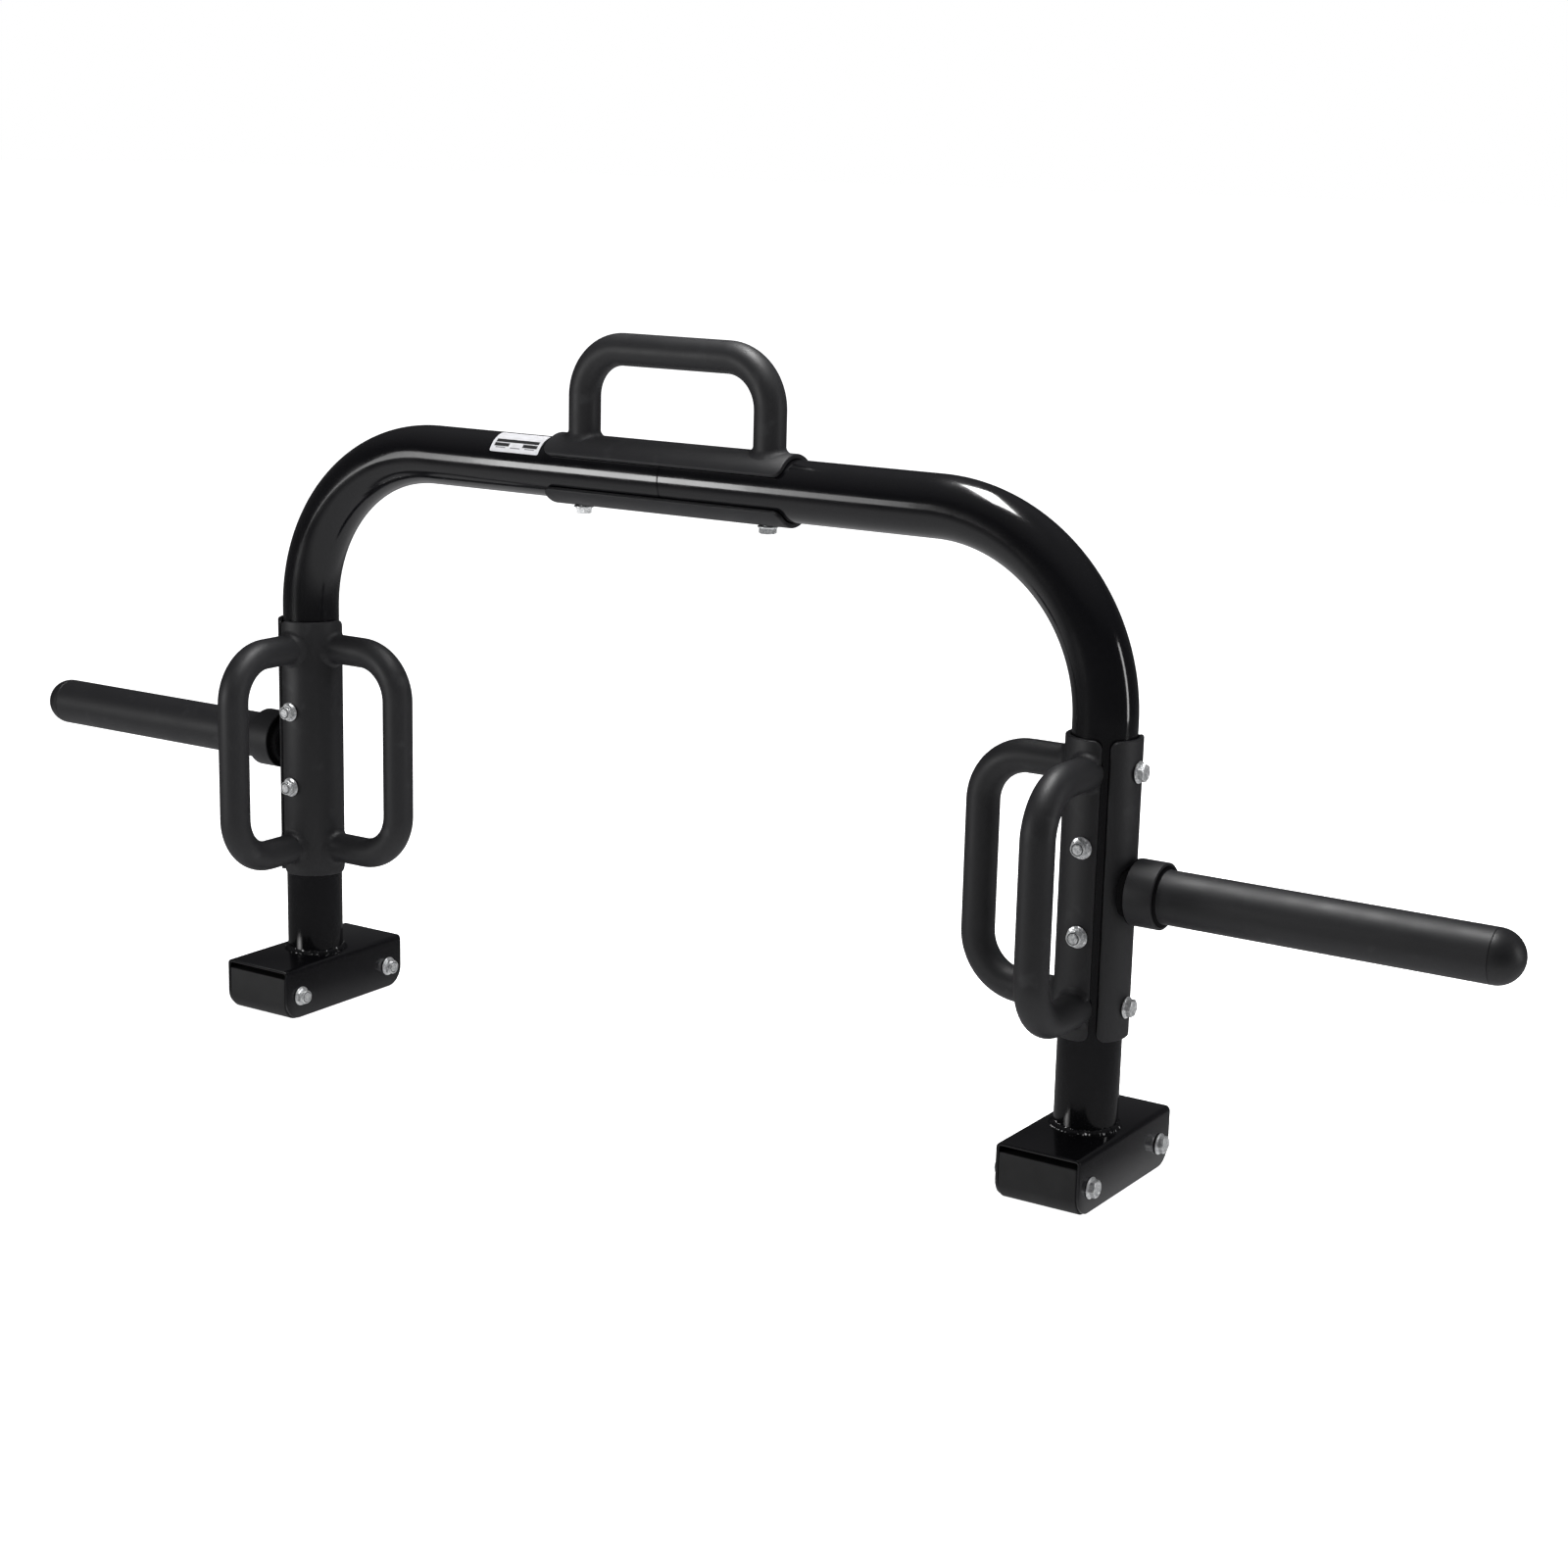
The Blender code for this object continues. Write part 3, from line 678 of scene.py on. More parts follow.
@dataclass(frozen=True)
class SheetBlank:
    """A flat plate with rounded corners and eased rims, before it is rolled or folded."""

    length: float
    width: float
    wall: float
    corner_radius: float
    rim_radius: float = 0.0
    corner_steps: int = 8
    rim_steps: int = 3

    def cut(self, stations: list[float]) -> BMesh:
        """Cuts the plate flat, with its long way along X and its wall up from Z = 0.

        Args:
            stations: Where along Y it gets a crease line, so that it can bend there.

        Returns:
            The flat plate, with its flat shape kept as its UV map.
        """
        bm = bmesh.new()
        bmesh.ops.create_grid(bm, x_segments=1, y_segments=1, size=0.5)
        bmesh.ops.scale(bm, vec=(self.length, self.width, 1), verts=bm.verts)
        bevelled(bm, list(bm.verts), self.corner_radius, self.corner_steps, "VERTICES")
        made = bmesh.ops.extrude_face_region(bm, geom=list(bm.faces))["geom"]
        top = [item for item in made if isinstance(item, BMVert)]
        bmesh.ops.translate(bm, vec=Z_AXIS * self.wall, verts=top)
        bmesh.ops.recalc_face_normals(bm, faces=bm.faces)
        if self.rim_radius:
            rims = [
                edge
                for edge in bm.edges
                if abs(edge.verts[0].co.z - edge.verts[1].co.z) < MERGE_DISTANCE
            ]
            bevelled(bm, rims, self.rim_radius, self.rim_steps, clamped=True)
        for station in stations:
            geometry = [*bm.verts, *bm.edges, *bm.faces]
            bmesh.ops.bisect_plane(bm, geom=geometry, plane_co=(0, station, 0), plane_no=Y_AXIS)
        layer = bm.loops.layers.uv.new("flat")
        for face in bm.faces:
            for loop in face.loops:
                place = loop.vert.co
                loop[layer].uv = (place.x / self.length + 0.5, place.y / self.width + 0.5)
        return bm

    def rolled(self, inner_radius: float, step: float) -> BMesh:
        """Rolls the plate about X, with its middle towards +Z.

        Args:
            inner_radius: The radius of its hollow side.
            step: The angle between crease lines.

        Returns:
            The rolled plate.
        """
        strips = 2 * math.ceil(self.width / 2 / inner_radius / step)
        bm = self.cut([self.width * (strip / strips - 0.5) for strip in range(1, strips)])
        for vert in bm.verts:
            angle = vert.co.y / inner_radius
            radius = inner_radius + vert.co.z
            vert.co.y = radius * math.sin(angle)
            vert.co.z = radius * math.cos(angle)
        return bm

    def folded(self, top_half: float, inner_radius: float, steps: int) -> BMesh:
        """Folds both long sides down into a channel whose top's inner face is at Z = 0.

        Args:
            top_half: Half the width of the flat top, up to where each bend starts.
            inner_radius: The inner radius of each bend.
            steps: How many strips each bend has.

        Returns:
            The folded channel.
        """
        neutral = (inner_radius + self.wall / 2) * QUARTER_TURN
        marks = [top_half + neutral * step / steps for step in range(steps + 1)]
        bm = self.cut([-mark for mark in reversed(marks)] + marks)
        for vert in bm.verts:
            past = abs(vert.co.y) - top_half
            if past <= 0:
                continue
            turn = min(past / neutral, 1) * QUARTER_TURN
            radius = inner_radius + vert.co.z
            below = max(past - neutral, 0)
            vert.co.y = math.copysign(top_half + radius * math.sin(turn), vert.co.y)
            vert.co.z = radius * math.cos(turn) - inner_radius - below
        return bm


@dataclass(frozen=True)
class RootBead:
    """A bead round a tube where it meets a surface: a weld, or a near-black bead that paints shade.

    Attributes:
        leg: How far it reaches out from the tube.
        rise: How far it climbs up the tube.
        bulge: Its face, from -1 for a hollow quarter circle to 1 for a full one.
        ripple: How much of its size the ripples take and give.
        ripple_pitch: How far apart the ripples are.
        wander: How much of its size slowly comes and goes.
        sink: How deep it sits in the tube and the surface.
        section_steps: How many strips its face has.
        ripple_steps: How many strips each ripple has.
        waves: How quickly the slow and the quick part of its wander change round the tube.
        drift: How far the ripples stray from an even pitch, and how quickly that changes.
    """

    leg: float
    rise: float
    bulge: float
    ripple: float = 0.06
    ripple_pitch: float = 0.0026
    wander: float = 0.14
    sink: float = 0.0006
    section_steps: int = 8
    ripple_steps: int = 4
    waves: tuple[float, float] = (3.0, 17.0)
    drift: tuple[float, float] = (2.0, 5.0)

    def section(self, tube_radius: float) -> list[Vector]:
        """Works out the bead's outline in the XZ plane.

        Args:
            tube_radius: The tube's outer radius.

        Returns:
            The outline's corners, from the top of its face round to its inner edge.
        """
        points = []
        for step in range(self.section_steps + 1):
            share = step / self.section_steps
            turn = share * QUARTER_TURN
            straight = Vector((share, 0, 1 - share))
            full = Vector((math.sin(turn), 0, math.cos(turn)))
            hollow = Vector((1 - math.cos(turn), 0, 1 - math.sin(turn)))
            point = straight.lerp(full if self.bulge > 0 else hollow, abs(self.bulge))
            points.append(Vector((tube_radius + point.x * self.leg, 0, point.z * self.rise)))
        inside = tube_radius - self.sink
        points.append(Vector((tube_radius + self.leg, 0, -self.sink)))
        return [*points, Vector((inside, 0, -self.sink)), Vector((inside, 0, self.rise))]

    def run(
        self,
        tube_radius: float,
        surface: Callable[[float, float], float],
        seed: float,
        limits: tuple[float, float] = (-math.inf, math.inf),
    ) -> BMesh:
        """Runs the bead once round a tube that stands along Z.

        Args:
            tube_radius: The tube's outer radius.
            surface: The height of the surface at X and Y.
            seed: Sets this bead's own unevenness.
            limits: The lowest and highest Y that the surface reaches.

        Returns:
            The closed bead.
        """
        bm = bmesh.new()
        verts = [bm.verts.new(point) for point in self.section(tube_radius)]
        bm.faces.new(verts)
        ripples = round(FULL_TURN * tube_radius / self.ripple_pitch)
        bmesh.ops.spin(
            bm,
            geom=verts + outline(verts),
            cent=(0, 0, 0),
            axis=Z_AXIS,
            angle=FULL_TURN,
            steps=ripples * self.ripple_steps,
            use_merge=True,
        )
        section = [face for face in bm.faces if len(face.verts) > 4]
        bmesh.ops.delete(bm, geom=section, context="FACES_ONLY")
        stray, change = self.drift
        for vert in bm.verts:
            angle = math.atan2(vert.co.y, vert.co.x)
            root = Vector((math.cos(angle), math.sin(angle), 0)) * tube_radius
            round_way = Vector((math.cos(angle), math.sin(angle), seed))
            wander = sum(noise.noise(round_way * wave) for wave in self.waves) * self.wander
            drift = stray * noise.noise(round_way * change)
            crest = math.sin(angle * ripples + drift) * self.ripple
            vert.co = root + (vert.co - root) * (1 + wander + crest / 2)
            vert.co.y = min(max(vert.co.y, limits[0]), limits[1])
            vert.co.z += surface(vert.co.x, vert.co.y)
        return bm


def joined(meshes: list[BMesh]) -> BMesh:
    """Puts several meshes into one.

    Args:
        meshes: The meshes, which are used up.

    Returns:
        The one mesh.
    """
    whole = bmesh.new()
    for bm in meshes:
        shape = bpy.data.meshes.new("joining")
        bm.to_mesh(shape)
        bm.free()
        whole.from_mesh(shape)
        bpy.data.meshes.remove(shape)
    return whole


def moved(bm: BMesh, place: Matrix) -> BMesh:
    """The mesh, moved by a matrix."""
    bmesh.ops.transform(bm, matrix=place, verts=bm.verts)
    return bm


def add_piece(
    name: str, bm: BMesh, finish: Finish, stands_for: str | None = None
) -> bpy.types.Object:
    """Makes one finished piece from a mesh in place.

    Args:
        name: The piece's name.
        bm: Its mesh, which is used up.
        finish: Its surface.
        stands_for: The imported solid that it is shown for, if there is one.

    Returns:
        The new object.
    """
    bmesh.ops.remove_doubles(bm, verts=bm.verts, dist=MERGE_DISTANCE)
    bmesh.ops.recalc_face_normals(bm, faces=bm.faces)
    mesh = bpy.data.meshes.new(name)
    bm.to_mesh(mesh)
    bm.free()
    mesh.materials.append(finish.material())
    mesh.shade_smooth()
    mesh.set_sharp_from_angle(angle=SHARP_ANGLE)
    piece = bpy.data.objects.new(name, mesh)
    bpy.context.scene.collection.objects.link(piece)
    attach(piece, BODY)
    if stands_for:
        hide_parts(stands_for)
    log.info("%s: %d faces, %s", name, len(mesh.polygons), finish.name)
    return piece


# Fasteners


@dataclass(frozen=True)
class Fasteners:
    """The flange bolts and flange nuts, all of one size."""

    shank_radius: float = 0.005
    hex_width: float = 0.015
    flange_rim: float = 0.0016
    flange_thickness: float = 0.002
    head_height: float = 0.0075
    nut_height: float = 0.009
    face_radius: float = 0.0070
    chamfer_slope: float = math.tan(math.radians(28))
    rim_ease: float = 0.0004
    dish_radius: float = 0.0050
    thread_pitch: float = 0.0015
    thread_depth: float = 0.0005
    thread_turns: int = 12
    bore_slack: float = 0.0003
    nut_countersink: float = 0.0009
    nut_hex_height: float = 0.0058
    nut_crown_radius: float = 0.0072
    nut_crown_round: float = 0.0010
    nut_groove: float = 0.0011
    groove_start: float = 0.0001
    groove_end: float = 0.0006
    insert_slack: float = 0.0001
    crown_steps: int = 3
    dish_share: float = 0.80
    insert_depth: float = 0.0004
    sides: int = 48

    @property
    def flange_radius(self) -> float:
        """The flange's outer radius."""
        return self.hex_width / math.sqrt(3) + self.flange_rim

    def hex_radius(self, angle: float) -> float:
        """How far the hexagon's outline is from its middle at this angle."""
        from_flat = (angle + math.pi / 6) % (math.pi / 3) - math.pi / 6
        return self.hex_width / 2 / math.cos(from_flat)

    def hex_ring(self, height: float, spread: float = 0.0) -> Ring:
        """A hexagonal ring at one height, grown by spread."""
        return lambda angle: (self.hex_radius(angle) + spread, height)

    def chamfer_ring(self, height: float) -> Ring:
        """The curved line where the turned chamfer meets the six flats.

        Args:
            height: The height of the end face that the chamfer slopes down from.

        Returns:
            The ring.
        """

        def at(angle: float) -> tuple[float, float]:
            """The radius and height at this angle."""
            radius = self.hex_radius(angle)
            return radius, height - (radius - self.face_radius) * self.chamfer_slope

        return at

    def body_rings(self, height: float) -> list[Ring]:
        """The flange and the hexagon that a head and a nut share.

        Args:
            height: The height of the hexagon's end face.

        Returns:
            The rings, going up. The last two are the end face's own.
        """
        rim, thick, ease = self.flange_radius, self.flange_thickness, self.rim_ease
        # The rim stands for nearly half the flange's thickness, and a cone runs from it to the flats
        return [
            round_ring(rim - ease, 0),
            round_ring(rim, ease),
            round_ring(rim, thick * 0.45),
            round_ring(rim - ease, thick * 0.7),
            self.hex_ring(thick * 0.95, ease),
            self.hex_ring(thick + ease),
            self.chamfer_ring(height),
            round_ring(self.face_radius, height),
            round_ring(self.face_radius - ease, height),
        ]

    def thread_rings(self, start: float, turns: int) -> list[Ring]:
        """The crests and roots of a rolled thread.

        Args:
            start: The height of the thread's lower end.
            turns: How many crests it has.

        Returns:
            The rings, going up.
        """
        root = self.shank_radius - self.thread_depth
        rings = [round_ring(root - self.thread_depth, start)]
        for turn in range(turns):
            crest_at = start + (turn + 0.6) * self.thread_pitch
            rings.append(round_ring(self.shank_radius, crest_at))
            rings.append(round_ring(root, crest_at + self.thread_pitch / 2))
        return rings

    def bolt(self, shank: float) -> BMesh:
        """Turns a flange bolt whose flange and head stand on Z = 0.

        Args:
            shank: How far the shank runs down from there.

        Returns:
            The closed bolt.
        """
        rings = self.thread_rings(-shank, self.thread_turns)
        start = -shank + (self.thread_turns + 1) * self.thread_pitch
        rings += [round_ring(self.shank_radius, start), round_ring(self.shank_radius, 0)]
        rings += self.body_rings(self.head_height)
        dish = self.head_height - self.rim_ease
        rings.append(round_ring(self.face_radius * self.dish_share, self.head_height))
        rings.append(round_ring(self.dish_radius, dish))
        return stacked(self.sides, rings)

    def nut(self) -> BMesh:
        """Turns a flange nut that stands on Z = 0, with a round locking crown.

        Returns:
            The closed nut, bored for its bolt.
        """
        bore = self.shank_radius + self.bore_slack
        top, groove = self.nut_height, self.nut_crown_radius - self.nut_groove
        sink = self.nut_countersink
        rings = [round_ring(bore, 0), *self.body_rings(self.nut_hex_height)[:-2]]
        for height in (self.groove_start, self.groove_end):
            rings.append(round_ring(groove, self.nut_hex_height + height))
        steps = self.crown_steps
        rings += turned_edge(self.nut_crown_radius, top, self.nut_crown_round, steps)
        rings += [round_ring(bore + sink, top), round_ring(bore, top - sink), round_ring(bore, 0)]
        return stacked(self.sides, rings, ends_filled=False)

    def insert(self) -> BMesh:
        """The nylon ring in the nut's crown, which locks it on the thread. Its dark colour also
        paints the shade of the recess round the bolt's end.

        Returns:
            The closed ring, in the nut's own place.
        """
        inner = self.shank_radius + self.insert_slack
        outer = self.shank_radius + self.bore_slack + self.nut_countersink
        high = self.nut_height - self.insert_depth
        low = high - self.insert_depth
        return closed_ring(self.sides, [(inner, low), (inner, high), (outer, high), (outer, low)])

    def place(self, name: str, toward: Vector) -> tuple[float, Matrix]:
        """Reads where a fastener's solid stands.

        Args:
            name: The solid's name.
            toward: Where its head or its outer face points.

        Returns:
            Its length, and its turned placing with its origin in the middle of its outer end.
        """
        low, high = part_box(name)
        length = sum(abs(part * size) for part, size in zip(toward, high - low))
        outer = (low + high) / 2 + toward * length / 2
        side = Z_AXIS if abs(toward.z) < 0.5 else Y_AXIS
        spanner_turn = Matrix.Rotation(random.Random(name).uniform(0, FULL_TURN), 4, "Z")
        return length, seat(side, toward, outer) @ spanner_turn

    def add_bolt(self, name: str, toward: Vector) -> None:
        """Adds one bolt.

        Args:
            name: The solid that it is shown for.
            toward: Where its head points.
        """
        length, place = self.place(name, toward)
        place = place @ Matrix.Translation((0, 0, -self.head_height))
        bolt = self.bolt(length - self.head_height)
        add_piece(name + "_finished", moved(bolt, place), ZINC, name)

    def add_nut(self, name: str, toward: Vector) -> None:
        """Adds one nut and its nylon ring, whose dark colour is partly painted shade of the recess
        round the bolt.

        Args:
            name: The solid that the nut is shown for.
            toward: Where its outer face points.
        """
        place = self.place(name, toward)[1] @ Matrix.Translation((0, 0, -self.nut_height))
        add_piece(name + "_finished", moved(self.nut(), place), ZINC, name)
        # The nylon ring is a real part, and its darkness also paints the shade of the recess round
        # the bolt's end
        add_piece(name + "_insert", moved(self.insert(), place), CAP_NYLON)


# Sub-assemblies


@dataclass(frozen=True)
class ClampPlates:
    """The rolled plates that wrap the tubes: two saddles on top and two shells on each leg."""

    layout: Layout
    wall: float = 0.005
    corner_radius: float = 0.008
    rim_radius: float = 0.0011
    roll_step: float = math.radians(2.5)
    top_saddle_half: float = math.radians(62)
    bottom_saddle_half: float = math.radians(58)
    horn_shell_half: float = math.radians(53.5)
    handle_shell_half: float = math.radians(68)

    def add_plate(self, name: str, half_angle: float, place: Matrix) -> None:
        """Adds one rolled plate.

        Args:
            name: The solid that it is shown for.
            half_angle: How far it wraps round on each side of its middle.
            place: Its placing, with the tube's axis along its own X.
        """
        inner = self.layout.shell_outer - self.wall
        length = self.layout.shell_length
        width = 2 * half_angle * inner
        blank = SheetBlank(length, width, self.wall, self.corner_radius, self.rim_radius)
        plate = moved(blank.rolled(inner, self.roll_step), place)
        add_piece(name + "_finished", plate, POWDER_COAT, name)

    def build(self) -> None:
        """Adds all six plates."""
        top = self.layout.top
        self.add_plate("top_saddle", self.top_saddle_half, seat(X_AXIS, Z_AXIS, top))
        self.add_plate("bottom_saddle", self.bottom_saddle_half, seat(X_AXIS, -Z_AXIS, top))
        for side in Side:
            leg = self.layout.leg(side)
            place = seat(Z_AXIS, side.outward, leg)
            self.add_plate(side.named("horn_shell"), self.horn_shell_half, place)
            between_handles = (FRONT - side.outward).normalized()
            place = seat(Z_AXIS, between_handles, leg)
            self.add_plate(side.named("handle_shell"), self.handle_shell_half, place)


@dataclass(frozen=True)
class GripHandles:
    """The five bent handles, each welded by its two feet to a rolled plate."""

    layout: Layout
    bend_radius: float = 0.048
    foot_sink: float = 0.0048
    bender_sides: int = 48
    bend_steps: int = 20
    plate_edge: float = 0.0128
    plate_share: float = 0.9
    bead: RootBead = RootBead(0.0046, 0.0052, bulge=-0.75, ripple=0.02, wander=0.10)

    def add_handle(self, name: str, place: Matrix, edge_side: int = 0) -> None:
        """Adds one handle and the two weld beads at its feet.

        Args:
            name: The solid that it is shown for.
            place: Its placing, with the tube's axis along its own X and the grip towards its own Z.
            edge_side: The side in its own Y on which the plate's edge is close, if there is one.
        """
        layout = self.layout
        half, reach = layout.half_span, layout.handle_reach
        foot = layout.shell_outer - self.foot_sink
        path = ((-half, foot), (-half, reach), (half, reach), (half, foot))
        corners = [Vector((x, 0, z)) for x, z in path]
        bender = PipeBender(layout.handle_radius, self.bender_sides, self.bend_steps)
        grip = bender.bend(corners, self.bend_radius)
        add_piece(name + "_finished", moved(grip, place), POWDER_COAT, name)

        def on_plate(_x: float, y: float) -> float:
            """The height of the rolled plate's outer face above the tube's axis."""
            return math.sqrt(layout.shell_outer**2 - y**2)

        near, far = self.plate_edge, layout.shell_outer * self.plate_share
        limits = (-near if edge_side < 0 else -far, near if edge_side > 0 else far)
        beads = []
        for level in Level:
            seed = random.Random(level.named(name)).uniform(0, 40)
            bead = self.bead.run(layout.handle_radius, on_plate, seed, limits)
            beads.append(moved(bead, place @ Matrix.Translation((level.value * half, 0, 0))))
        add_piece(name + "_welds", joined(beads), WELD_COAT)

    def build(self) -> None:
        """Adds the carry handle, and the two handles of each leg."""
        self.add_handle("carry_handle", seat(X_AXIS, Z_AXIS, self.layout.top))
        for side in Side:
            leg = self.layout.leg(side)
            place = seat(Z_AXIS, FRONT, leg)
            self.add_handle(side.named("front_handle"), place, -side.value)
            place = seat(Z_AXIS, -side.outward, leg)
            self.add_handle(side.named("inner_handle"), place, side.value)


@dataclass(frozen=True)
class WeightHorns:
    """The two horns that plates slide on: tube, stop collar, domed cap, and near-black pieces that
    paint the shade at both ends of the collar.
    """

    layout: Layout
    root_sink: float = 0.004
    sides: int = 72
    collar_slack: float = 0.0004
    collar_round: float = 0.0009
    collar_back_ease: float = 0.001
    seam_ease: float = 0.0006
    cap_lip: float = 0.004
    # A near-black bead at the collar's outer end: painted shade on that end face
    front_seal: RootBead = RootBead(0.0034, 0.0020, bulge=-0.7, ripple=0.0, wander=0.03)
    band_wall: float = 0.0004
    band_gap: float = 0.0001
    shade_bead_seed: float = 3.0
    dome_steps: int = 48
    collar_round_steps: int = 6

    def build(self) -> None:
        """Adds the pieces of both horns."""
        for side in Side:
            self.add_horn(side)

    def add_horn(self, side: Side) -> None:
        """Adds one horn's pieces, modelled along Z from the leg's axis.

        Args:
            side: The leg that the horn stands on.
        """
        layout = self.layout
        place = seat(Z_AXIS, side.outward, layout.leg(side))
        low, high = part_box(side.named("weight_horn"))
        radius = (high.z - low.z) / 2
        shoulder = max(abs(low.x), abs(high.x)) - layout.leg_x
        low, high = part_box(side.named("horn_cap"))
        tip = max(abs(low.x), abs(high.x)) - layout.leg_x
        low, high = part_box(side.named("stop_collar"))
        reaches = sorted((abs(low.x) - layout.leg_x, abs(high.x) - layout.leg_x))
        collar_radius = (high.z - low.z) / 2

        ease = self.seam_ease
        rings = [
            round_ring(radius, layout.shell_outer - self.root_sink),
            round_ring(radius, shoulder - ease),
            round_ring(radius - ease, shoulder),
        ]
        tube = moved(stacked(self.sides, rings), place)
        add_piece(side.named("weight_horn_finished"), tube, POWDER_COAT, side.named("weight_horn"))

        bore = radius + self.collar_slack
        collar = self.collar_mesh(bore, collar_radius, reaches[0], reaches[1])
        name = side.named("stop_collar")
        add_piece(name + "_finished", moved(collar, place), POWDER_COAT, name)

        # The near-black bead round the horn at the collar's outer end paints the shade of that end
        # face
        seed = self.shade_bead_seed * side.value
        shade_bead = self.front_seal.run(radius, lambda x, y: reaches[1], seed)
        add_piece(side.named("collar_seal"), moved(shade_bead, place), PAINTED_SHADE_BLACK)

        # The band is painted shade: a near-black sleeve and lip that darken the gap between shell
        # and collar. It runs from the shell along the horn and up the collar's back
        inner, outer = radius + self.band_gap, radius + self.band_wall
        root, back = layout.shell_outer - self.root_sink, reaches[0] - self.band_gap
        lip, lip_radius = back - self.band_wall, collar_radius - self.band_wall
        section = [(inner, root), (outer, root), (outer, lip), (lip_radius, lip)]
        band = closed_ring(self.sides, [*section, (lip_radius, back), (inner, back)])
        add_piece(side.named("horn_root_band"), moved(band, place), PAINTED_SHADE_BLACK)

        cap = moved(self.cap_mesh(radius, tip - radius), place)
        add_piece(side.named("horn_cap_finished"), cap, CAP_NYLON, side.named("horn_cap"))

    def collar_mesh(self, bore: float, radius: float, start: float, end: float) -> BMesh:
        """The stop collar, with its outer edge turned round.

        Args:
            bore: The radius of its hole.
            radius: Its outer radius.
            start: Where it starts along the horn.
            end: Where it ends.

        Returns:
            The closed ring.
        """
        ease = self.collar_back_ease
        rings = [round_ring(bore, start), round_ring(radius - ease, start)]
        rings.append(round_ring(radius, start + ease))
        rings += turned_edge(radius, end, self.collar_round, self.collar_round_steps)
        rings += [round_ring(bore, end), round_ring(bore, start)]
        return stacked(self.sides, rings, ends_filled=False)

    def cap_mesh(self, radius: float, shoulder: float) -> BMesh:
        """The domed cap.

        Args:
            radius: The dome's radius.
            shoulder: Where along the horn the dome starts.

        Returns:
            The dome, closed by a flat lip that hides inside the tube's end.
        """
        bm = bmesh.new()
        steps = self.dome_steps
        bmesh.ops.create_uvsphere(bm, u_segments=self.sides, v_segments=steps, radius=radius)
        cut = bmesh.ops.bisect_plane(
            bm,
            geom=[*bm.verts, *bm.edges, *bm.faces],
            plane_co=(0, 0, 0),
            plane_no=Z_AXIS,
            clear_inner=True,
        )["geom_cut"]
        rim = [item for item in cut if isinstance(item, BMEdge)]
        for shrink, drop in ((self.seam_ease, self.seam_ease), (self.cap_lip, self.seam_ease)):
            verts, rim = drawn_out(bm, rim)
            for vert in verts:
                scale = (radius - shrink) / math.hypot(vert.co.x, vert.co.y)
                vert.co = (vert.co.x * scale, vert.co.y * scale, -drop)
        bmesh.ops.holes_fill(bm, edges=rim, sides=0)
        bmesh.ops.translate(bm, vec=(0, 0, shoulder), verts=bm.verts)
        return bm


@dataclass(frozen=True)
class ArchTubes:
    """The two bent tubes that butt at the top, the weld at each foot, and the label."""

    layout: Layout
    bend_radius: float = 0.178
    wall: float = 0.003
    sides: int = 96
    bend_steps: int = 48
    label_length: float = 0.061
    label_half_angle: float = math.radians(27)
    label_tilt: float = math.radians(37)
    label_wall: float = 0.0003
    label_corner: float = 0.002
    label_step: float = math.radians(3)
    butt_chamfer: float = 0.0004
    weld_seed: float = 17.0
    foot_bead: RootBead = RootBead(
        0.0036, 0.0040, bulge=0.45, ripple=0.05, ripple_pitch=0.0034, wander=0.42
    )

    def build(self) -> None:
        """Adds the tubes, the welds at their feet and the label."""
        layout = self.layout
        for side in Side:
            name = side.named("arch_tube")
            corners = [
                layout.top + side.outward * layout.butt_gap / 2,
                layout.top + side.outward * layout.leg_x,
                Vector((side.value * layout.leg_x, layout.plane_y, layout.tube_foot)),
            ]
            add_piece(name + "_finished", self.tube_mesh(corners), GLOSS_ENAMEL, name)
            seed = self.weld_seed + side.value
            bead = self.foot_bead.run(layout.tube_radius, lambda x, y: 0.0, seed)
            place = Matrix.Translation(corners[-1])
            add_piece(side.named("foot_weld"), moved(bead, place), GLOSS_ENAMEL)
        self.add_label()

    def tube_mesh(self, corners: list[Vector]) -> BMesh:
        """Bends the outer and the inner skin alike, and closes the wall between them at both ends.

        Args:
            corners: The ends of the tube's axis and the corner between them.

        Returns:
            The closed tube.
        """
        outer = self.layout.tube_radius
        skins = [
            PipeBender(radius, self.sides, self.bend_steps).bend(corners, self.bend_radius, False)
            for radius in (outer, outer - self.wall)
        ]
        bm = joined(skins)
        open_edges = [edge for edge in bm.edges if edge.is_boundary]
        for end in (corners[0], corners[-1]):
            rims = [edge for edge in open_edges if (edge.verts[0].co - end).length < 2 * outer]
            bmesh.ops.bridge_loops(bm, edges=rims)
        rim = {
            vert
            for vert in bm.verts
            if abs(vert.co.x - corners[0].x) < MERGE_DISTANCE
            and (vert.co - corners[0]).length > outer - self.wall / 2
        }
        butt_edges = [edge for edge in bm.edges if rim.issuperset(edge.verts)]
        bevelled(bm, butt_edges, self.butt_chamfer, 1)
        return bm

    def add_label(self) -> None:
        """Adds the label, wrapped on the upper front of the left tube."""
        low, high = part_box("blank_label")
        tilt = self.label_tilt
        up = Vector((0, -math.sin(tilt), math.cos(tilt)))
        origin = Vector(((low.x + high.x) / 2, self.layout.plane_y, self.layout.top_z))
        inner = self.layout.tube_radius + self.label_wall
        width = 2 * inner * self.label_half_angle
        blank = SheetBlank(self.label_length, width, self.label_wall, self.label_corner)
        film = moved(blank.rolled(inner, self.label_step), seat(X_AXIS, up, origin))
        add_piece("blank_label_finished", film, LABEL, "blank_label")


